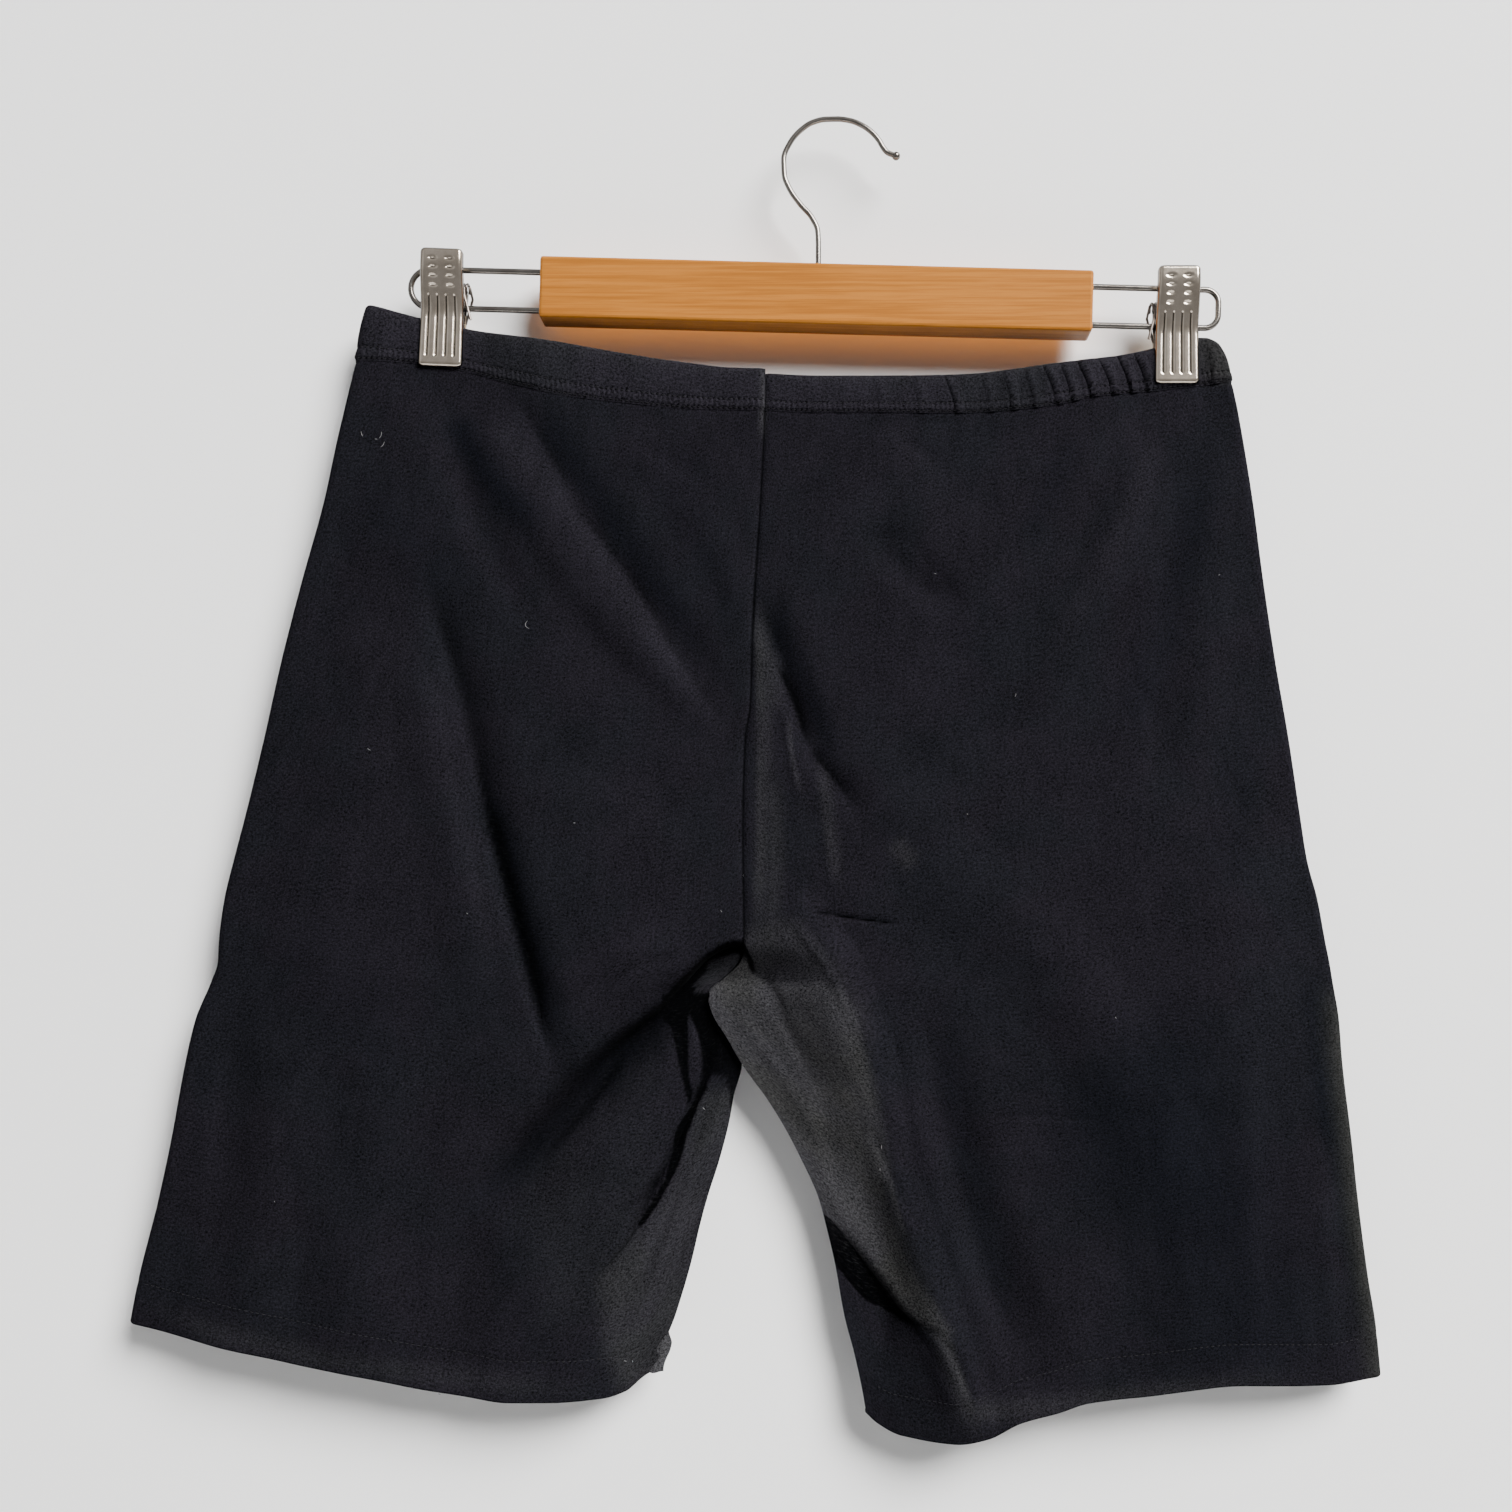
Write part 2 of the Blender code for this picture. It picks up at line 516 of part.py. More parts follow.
def leg_panel(side, parent):
    """One leg's whole cut piece, from centre front round the side to centre back."""
    marks = ((0.0, 0.005, 0.02, 0.055), (0.0, 0.02, 0.055, 0.10))
    front = column_shares(FRONT_COLUMNS, *marks)
    back = column_shares(BACK_COLUMNS, *marks)
    rings = []
    halves = []
    for down in panel_rows():
        rings.append(ring_of(side, front, back,
                             lambda share, at=down: side.row_drop(share, at)))
        halves.append(PANEL_WALL / 2)
    for above_hem in (HEM_TURN_UP - 1.4, HEM_TURN_UP / 2, 0.0):
        rings.append(ring_of(side, front, back,
                             lambda share, up=above_hem: side.hem_edge(share) - up))
        halves.append(HEM_WALL - PANEL_WALL / 2)
    grid = np.stack(rings)
    inner_half = np.repeat(np.array(halves)[:, None], grid.shape[1], axis=1)
    seam_side = np.ones(grid.shape[1])
    seam_side[:4] = seam_side[-4:] = 0.0
    inner_half = PANEL_WALL / 2 + (inner_half - PANEL_WALL / 2) * seam_side
    outer_half = np.full(grid.shape[:2], PANEL_WALL / 2)
    mesh = wall_mesh("leg_" + side.name, grid, side.outward, outer_half, inner_half)
    return place("leg_" + side.name, mesh, "jersey", parent)


def band_half(side, parent):
    """Half of the waistband casing, between the centre seams."""
    marks = ((0.0, 0.005, 0.02, 0.055), (0.0, 0.02))
    front = column_shares(BAND_FRONT_COLUMNS if side.name == "right" else BAND_BACK_COLUMNS,
                          *marks)
    back = column_shares(BAND_BACK_COLUMNS, *marks)
    rings = []
    halves = []
    for down, half in ((0.0, 0.5), (0.045, 0.95), (0.35, 1.0), (0.7, 1.0), (1.0, 0.8)):
        def drop_of(share, down=down):
            top = side.band_edge(share, 1)
            return top + (side.band_edge(share, 2) - SEAM_GAP / 2 - top) * down
        rings.append(ring_of(side, front, back, drop_of, down))
        halves.append(half * BAND_WALL / 2)
    grid = np.stack(rings)
    half = np.repeat(np.array(halves)[:, None], grid.shape[1], axis=1)
    mesh = wall_mesh("waistband_" + side.name, grid, side.outward, half, half)
    return place("waistband_" + side.name, mesh, "band", parent)


# ---------------------------------------------------------------- hanger pieces
def tube(name, line, radii, sides):
    """Round wire along a line of points, with a radius at each, closed at both ends."""
    line = [Vector(p) for p in line]
    work = bmesh.new()
    rings = []
    across = None
    for i, point in enumerate(line):
        way = (line[min(i + 1, len(line) - 1)] - line[max(i - 1, 0)]).normalized()
        if across is None:
            across = way.orthogonal().normalized()
        across = (across - way * across.dot(way)).normalized()
        second = way.cross(across)
        ring = []
        for k in range(sides):
            turn = math.tau * k / sides
            offset = across * math.cos(turn) + second * math.sin(turn)
            ring.append(work.verts.new((point + offset * radii[i]) * MM))
        rings.append(ring)
    for first, second in zip(rings, rings[1:]):
        for k in range(sides):
            n = (k + 1) % sides
            work.faces.new((first[k], first[n], second[n], second[k]))
    work.faces.new(rings[0])
    work.faces.new(rings[-1])
    mesh = bpy.data.meshes.new(name)
    work.to_mesh(mesh)
    work.free()
    return close_up(mesh)


def bar_point(along, up):
    """x and drop of a place on the tilted bar, from its middle."""
    tilt = math.radians(BAR_TILT)
    return (BAR_X + along * math.cos(tilt) + up * math.sin(tilt),
            BAR_DROP + along * math.sin(tilt) - up * math.cos(tilt))


def hook_line():
    """Hook wire: out of the bar's hole, up, round and out to the ball."""
    foot_x = BAR_X + 0.9
    foot = (foot_x, BAR_DROP - BAR_HEIGHT / 2 + HOOK_IN_BAR)
    points = [foot, (foot_x, BAR_DROP - BAR_HEIGHT / 2 - 3)] + list(HOOK_LINE)
    places = np.array(points, float)
    run = np.concatenate([[0], np.cumsum(np.linalg.norm(np.diff(places, axis=0), axis=1))])
    table = [(s, x, d) for s, (x, d) in zip(run, places)]
    at = np.concatenate([[0.0], np.linspace(run[1], run[-1], 34)])
    return [(float(x), 0.0, -float(d))
            for x, d in zip(through(table, 1, at), through(table, 2, at))]


def hanger_hook(parent):
    line = hook_line()
    radii = [HOOK_WIRE / 2] * len(line)
    way = (Vector(line[-1]) - Vector(line[-2])).normalized()
    end = Vector(line[-1])
    ball = HOOK_BALL / 2
    for k in range(1, 7):
        turn = math.pi * (0.30 + 0.70 * k / 6.4)
        line.append(tuple(end + way * ball * (math.cos(math.pi * 0.30) - math.cos(turn))))
        radii.append(ball * math.sin(turn))
    mesh = tube("hanger_hook", line, radii, 8)
    return place("hanger_hook", mesh, "wire", parent)


def loop_line(loop):
    """Wire loop: out of the bar's end, round its two corners and back in."""
    side = loop["side"]
    half = LOOP_SPREAD / 2
    corner = loop["corner"]
    inside = side * (BAR_LENGTH / 2 - LOOP_IN_BAR)
    far = (loop["end"] - BAR_X) / math.cos(math.radians(BAR_TILT))
    centre = far - side * corner
    points = [(inside, half), (side * (BAR_LENGTH / 2 + 4), half)]
    for k in range(13):
        turn = math.pi * k / 12
        straight = (half - corner) * ((k < 6) - (k > 6))
        points.append((centre + side * corner * math.sin(turn),
                       corner * math.cos(turn) + straight))
    points += [(side * (BAR_LENGTH / 2 + 4), -half), (inside, -half)]
    places = [bar_point(*p) for p in points]
    return [(x, 0.0, -drop) for x, drop in places]


def wire_loop(name, parent):
    line = loop_line(LOOPS[name])
    mesh = tube("wire_loop_" + name, line, [LOOP_WIRE / 2] * len(line), 8)
    return place("wire_loop_" + name, mesh, "wire", parent)


def drill(name, radius, depth, location, rotation):
    """Cutter for a hole in the bar."""
    mesh = bpy.data.meshes.new(name)
    work = bmesh.new()
    bmesh.ops.create_cone(work, cap_ends=True, segments=12, radius1=radius * MM,
                          radius2=radius * MM, depth=depth * MM)
    work.to_mesh(mesh)
    work.free()
    cutter = bpy.data.objects.new(name, mesh)
    bpy.context.scene.collection.objects.link(cutter)
    cutter.location = [v * MM for v in location]
    cutter.rotation_euler = rotation
    cutter.hide_render = True
    cutter.display_type = "WIRE"
    return cutter


def hanger_bar(parent):
    """Wooden bar with eased edges, drilled for the hook and the loops."""
    mesh = bpy.data.meshes.new("hanger_bar")
    work = bmesh.new()
    size = Matrix.Diagonal((BAR_LENGTH * MM, BAR_DEPTH * MM, BAR_HEIGHT * MM, 1))
    bmesh.ops.create_cube(work, size=1, matrix=size)
    work.to_mesh(mesh)
    work.free()
    tilt = math.radians(BAR_TILT)
    bar = place("hanger_bar", mesh, "maple", parent,
                (BAR_X * MM, 0, -BAR_DROP * MM), (0, tilt, 0))
    easing = bar.modifiers.new("eased edges", "BEVEL")
    easing.width = BAR_EASE * MM
    easing.segments = 2
    holes = []
    for name, loop in LOOPS.items():
        for row in (1, -1):
            along = loop["side"] * (BAR_LENGTH / 2 - LOOP_IN_BAR / 2 + 1)
            x, drop = bar_point(along, row * LOOP_SPREAD / 2)
            holes.append(drill("cut_loop", LOOP_WIRE / 2 + SEAM_GAP, LOOP_IN_BAR + 3,
                               (x, 0, -drop), (0, math.pi / 2 + tilt, 0)))
    top = BAR_DROP - BAR_HEIGHT / 2
    depth = HOOK_IN_BAR + SEAM_GAP + 5
    holes.append(drill("cut_hook", HOOK_WIRE / 2 + SEAM_GAP, depth,
                       (hook_line()[0][0], 0, -(top + HOOK_IN_BAR + SEAM_GAP - depth / 2)),
                       (0, 0, 0)))
    for cutter in holes:
        cutter.parent = parent
        cut = bar.modifiers.new("hole", "BOOLEAN")
        cut.operation = "DIFFERENCE"
        cut.object = cutter
        cut.solver = "EXACT"
    mesh.shade_smooth()
    mesh.set_sharp_from_angle(angle=math.radians(35))
    return bar


def clip_plate(name, clip, height, way, parent):
    """Pressed plate with turned side edges: jaw at the bottom, handle at the top."""
    jaw = CLIPPED_LAYER + BAND_WALL / 2 + SEAM_GAP
    bottom = CLIP_HEIGHT / 2
    section = ((-1.0, 1.0), (-1.0, 0.32), (-0.86, 0.0), (0.86, 0.0), (1.0, 0.32), (1.0, 1.0))
    grid = []
    for above in (height, 0.94 * height, 0.72 * height, JAW_REACH, 9.0, 3.0, 0.0):
        taper = above / CLIP_HEIGHT
        half_width = (CLIP_BOTTOM_WIDTH * (1 - taper) + CLIP_TOP_WIDTH * taper) / 2
        opening = (CLIP_SPREAD - jaw) * ease((above - JAW_REACH) / 26)
        away = jaw + CLIP_SHEET + opening
        flange = min(CLIP_FLANGE, CLIP_SHEET + opening)
        grid.append([(u * half_width, way * (away - v * flange), above - bottom)
                     for u, v in section])
    grid = np.array(grid)
    normal = surface_normals(grid, way)
    outer = np.full(grid.shape[:2], 0.0)
    inner = np.full(grid.shape[:2], CLIP_SHEET * 0.9)
    mesh = wall_mesh(name, grid, way, outer, inner)
    lean = math.radians(clip["lean"])
    return place(name, mesh, "nickel", parent,
                 (clip["x"] * MM, 0, -clip["drop"] * MM), (0, lean, 0))


def clip_spring(name, clip, parent):
    """Coil spring between the plates, as one body ridged by its turns."""
    line = []
    radii = []
    steps = SPRING_TURNS * 2
    for k in range(steps + 1):
        x = -SPRING_LENGTH / 2 + SPRING_LENGTH * k / steps
        line.append((x, 0.0, 0.0))
        radii.append(SPRING_OUTER / 2 - (0.5 if k % 2 == 0 else 0.0))
    mesh = tube(name, line, radii, 12)
    drop = BAR_DROP + math.sin(math.radians(BAR_TILT)) * (clip["x"] - BAR_X)
    return place(name, mesh, "spring_steel", parent,
                 (clip["x"] * MM, 0, -drop * MM), (0, math.radians(BAR_TILT), 0))


# ---------------------------------------------------------------- the whole part
def clear_scene():
    for piece in list(bpy.data.objects):
        bpy.data.objects.remove(piece, do_unlink=True)


def empty(name, parent=None):
    """Frame that pieces are parented to."""
    frame = bpy.data.objects.new(name, None)
    bpy.context.scene.collection.objects.link(frame)
    frame.parent = parent
    return frame


def main():
    clear_scene()
    hang_point = empty("hang_point")
    garment = empty("garment", hang_point)
    hanger = empty("hanger", hang_point)
    for side in (Side("left"), Side("right")):
        leg_panel(side, garment)
        band_half(side, garment)
    hanger_bar(hanger)
    hanger_hook(hanger)
    for name, clip in CLIPS.items():
        wire_loop(name, hanger)
        clip_plate("clip_" + name + "_front", clip, CLIP_HEIGHT, -1, hanger)
        clip_plate("clip_" + name + "_back", clip, CLIP_BACK_HEIGHT, 1, hanger)
        clip_spring("clip_" + name + "_spring", clip, hanger)


main()
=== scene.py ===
# Cycling shorts on a wooden clip hanger: the finished looks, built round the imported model.
import math

import bmesh
import bpy
import numpy as np
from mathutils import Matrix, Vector


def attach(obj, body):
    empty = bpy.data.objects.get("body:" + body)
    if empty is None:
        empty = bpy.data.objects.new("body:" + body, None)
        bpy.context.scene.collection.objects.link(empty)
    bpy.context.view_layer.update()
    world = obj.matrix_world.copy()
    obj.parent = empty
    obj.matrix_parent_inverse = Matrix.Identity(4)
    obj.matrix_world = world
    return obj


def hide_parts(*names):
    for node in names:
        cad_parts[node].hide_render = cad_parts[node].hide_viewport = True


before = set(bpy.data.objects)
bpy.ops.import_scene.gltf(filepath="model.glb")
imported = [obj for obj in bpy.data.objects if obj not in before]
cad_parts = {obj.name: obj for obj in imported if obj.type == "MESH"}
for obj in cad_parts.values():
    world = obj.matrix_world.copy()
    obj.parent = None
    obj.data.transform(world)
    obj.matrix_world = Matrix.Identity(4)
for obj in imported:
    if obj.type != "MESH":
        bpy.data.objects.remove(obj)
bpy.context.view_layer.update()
mm = 0.001  # everything below is in millimetres, with heights as drops below the hook
print("frame loaded:", len(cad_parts), "nodes")


# Small curve helpers

def through(rows, column, at):
    # smooth curve through one column of a table, with no overshoot
    at = np.asarray(at, float)
    x = np.array([row[0] for row in rows], float)
    y = np.array([row[column] for row in rows], float)
    step = np.diff(x)
    slope = np.diff(y) / step
    tangent = np.zeros(len(x))
    tangent[0], tangent[-1] = slope[0], slope[-1]
    before, after = slope[:-1], slope[1:]
    weightA = 2 * step[1:] + step[:-1]
    weightB = step[1:] + 2 * step[:-1]
    sameWay = before * after > 0
    safeBefore = np.where(sameWay, before, 1.0)
    safeAfter = np.where(sameWay, after, 1.0)
    mean = (weightA + weightB) / (weightA / safeBefore + weightB / safeAfter)
    tangent[1:-1] = np.where(sameWay, mean, 0.0)
    i = np.clip(np.searchsorted(x, at) - 1, 0, len(step) - 1)
    q = np.clip((at - x[i]) / step[i], 0, 1)
    return (y[i] * (1 + 2 * q) * (1 - q) ** 2 + y[i + 1] * q * q * (3 - 2 * q)
            + step[i] * (tangent[i] * q * (1 - q) ** 2 - tangent[i + 1] * q * q * (1 - q)))


def ease(q):
    q = np.clip(q, 0, 1)
    return q * q * (3 - 2 * q)


def quarterRound(q):
    q = np.clip(q, 0, 1)
    return np.sqrt(np.maximum(1 - (1 - q) ** 2, 0))


def bendLine(points, count=25):
    # even curve through start, bend and end
    start, bend, end = (np.array(p, float) for p in points)
    control = 2 * bend - (start + end) / 2
    q = np.linspace(0, 1, count)[:, None]
    return start * (1 - q) ** 2 + 2 * control * q * (1 - q) + end * q * q


def alongLine(line, x, drop):
    # distance right of a line going down it, share along it, and its own way down
    a, b = line[:-1], line[1:]
    run = b - a
    length = np.linalg.norm(run, axis=1)
    offX = x[..., None] - a[:, 0]
    offDrop = drop[..., None] - a[:, 1]
    share = (offX * run[:, 0] + offDrop * run[:, 1]) / length ** 2
    inside = np.clip(share, 0, 1)
    gapX = offX - inside * run[:, 0]
    gapDrop = offDrop - inside * run[:, 1]
    nearest = np.argmin(gapX ** 2 + gapDrop ** 2, axis=-1)[..., None]
    offX, offDrop, share = (np.take_along_axis(values, nearest, -1)[..., 0]
                            for values in (offX, offDrop, share))
    part = nearest[..., 0]
    wayX, wayDrop = run[part, 0] / length[part], run[part, 1] / length[part]
    across = (offX * run[part, 1] - offDrop * run[part, 0]) / length[part]
    return across, (part + share) / len(a), wayX, wayDrop


# The garment's measured form, the same as its solids

shorts = {
    "wall": 1.1,            # jersey
    "seamClear": 0.12,      # between the two panels of a seam, each side
    "sideRound": 3.4, "sideSwell": 58.0, "sideCalm": 26.0, "seamCalm": 16.0,
    "frontTurn": (385.0, 405.0), "backTurn": (384.0, 409.0),
    "fork": 442.0, "forkRow": 0.70,
    "legOffset": 1.9, "legCrossing": (404.0, 414.0, 444.0, 484.0),
    "legOverlap": 1.0, "overlapFrom": 409.5, "overlapIn": 4.0, "overlapOut": 16.0,
    "topRow": 100.0, "seamRow": 125.0,    # usual drops of the band's two edges
    "inseamReach": 34.0,
    "closedLayer": 0.62, "hemLayer": 1.95, "clippedLayer": 1.45,
    "seamDip": 0.75, "seamDipWidth": 1.3, "seamShade": (0.75, 0.8), "hollowShade": 1.2,
    "hemFrom": 30.0, "hemOver": 12.0,
    # drop, left edge, right edge
    "sideOutline": (
        (86, -216, 177), (101, -219.5, 180.5), (112, -221.5, 185.5), (131, -226, 190.5),
        (150, -230.5, 194), (178, -236.5, 198.5), (216, -247, 203.5), (253, -256.5, 209),
        (291, -265, 215.5), (328, -274, 221), (347, -279, 224), (366, -283.5, 229),
        (385, -286, 232.5), (395, -286.5, 234.5), (404, -289.5, 236), (422, -297, 239),
        (441, -301.5, 240.5), (479, -308.5, 245), (507, -314.5, 248), (545, -324, 253),
        (563, -327.5, 256), (582, -331, 258), (600, -334, 259.5)),
    # drop, left panel, right panel
    "innerOutline": (
        (110, -29.5, -29.5), (139, -30, -30), (182, -32, -32), (239, -35.5, -35.5),
        (276, -36.5, -36.5), (290, -38.8, -38.8), (334, -40, -40), (386, -39.3, -39.3),
        (394, -41.5, -41.5), (402, -49, -49), (409, -56, -56), (418, -54, -54),
        (430, -47, -47), (442, -42, -40), (457, -44.5, -30.5), (469, -46.5, -23),
        (487, -51, -13.5), (506, -57, -5), (519, -60.5, -1.5), (536, -64.5, 2.5),
        (561, -72, 7), (582, -80, 12.5), (605, -84, 17), (620, -86, 19)),
    "inseamSwell": (
        (380, 26, 52), (409, 30, 60), (441, 36, 60), (480, 46, 52), (620, 46, 46)),
    "backSeam": (
        (110, -28), (180, -31), (260, -36), (340, -40), (386, -44), (402, -50), (409, -56),
        (418, -54), (430, -47), (442, -41)),
    # drop, front, back
    "standOff": (
        (86, 5.5, 5.0), (140, 6.5, 5.5), (200, 8.5, 7.5), (270, 10, 9.5), (340, 11, 11),
        (409, 12, 12), (500, 12.5, 12), (560, 13, 12), (620, 14, 13)),
}
# x, drop of the top edge, drop of the seam
bandEdges = {
    "left": (
        (-221, 86.5, 113.5), (-201, 91.0, 114), (-171, 97.7, 118.2), (-147, 102.0, 125),
        (-121, 106.3, 131), (-91, 111.3, 134.5), (-64, 115.3, 137), (-46, 117.4, 137.4),
        (-29, 118.0, 137.6)),
    "right": (
        (-31, 120.2, 137.6), (-7, 121.1, 138.6), (30, 121.2, 138.8), (64, 120.2, 138.6),
        (100, 115.6, 135.8), (126, 112.0, 130.6), (153, 106.2, 127), (174, 102.0, 124.8),
        (190, 102.4, 122.8)),
}
# share of the way from the inseam to the side, drop
hemEdges = {
    "left": (
        (0, 584.5), (0.022, 588), (0.05, 594.5), (0.09, 597), (0.26, 597.2), (0.33, 595),
        (0.55, 585), (0.775, 574), (1, 563)),
    "right": (
        (0, 605), (0.02, 610), (0.065, 615), (0.16, 616.5), (0.23, 613.5), (0.295, 606.5),
        (0.37, 601.8), (0.425, 597.6), (0.547, 593.9), (0.72, 589.4), (0.9, 590.6), (1, 588)),
}
clips = {
    "left": {"x": -181.0, "drop": 89.5, "lean": 2.4, "jawDrop": 115.0, "inner": 1},
    "right": {"x": 162.9, "drop": 97.5, "lean": 0.0, "jawDrop": 123.0, "inner": -1},
}
# half width the clips press flat, how far their pinch reaches aside and down, and how far
# beside a jaw the gathers start and grow
clipHold = {"flat": 12.0, "spread": 34.0, "reach": 66.0, "beside": (10.5, 3.0)}
# share of a fold's length over which it fades, and what is left of it at its end
foldFade = {"start": (0.3, 0.35), "end": (0.34, 0.3)}
# painted shade: how dark the bottoms are: round folds, sharp ones, less for a wide one, tucks,
# lips
foldShade = {"round": 0.14, "sharp": 0.40, "wide": 0.25, "tuck": 0.7, "lip": 0.5, "sunk": 0.06}

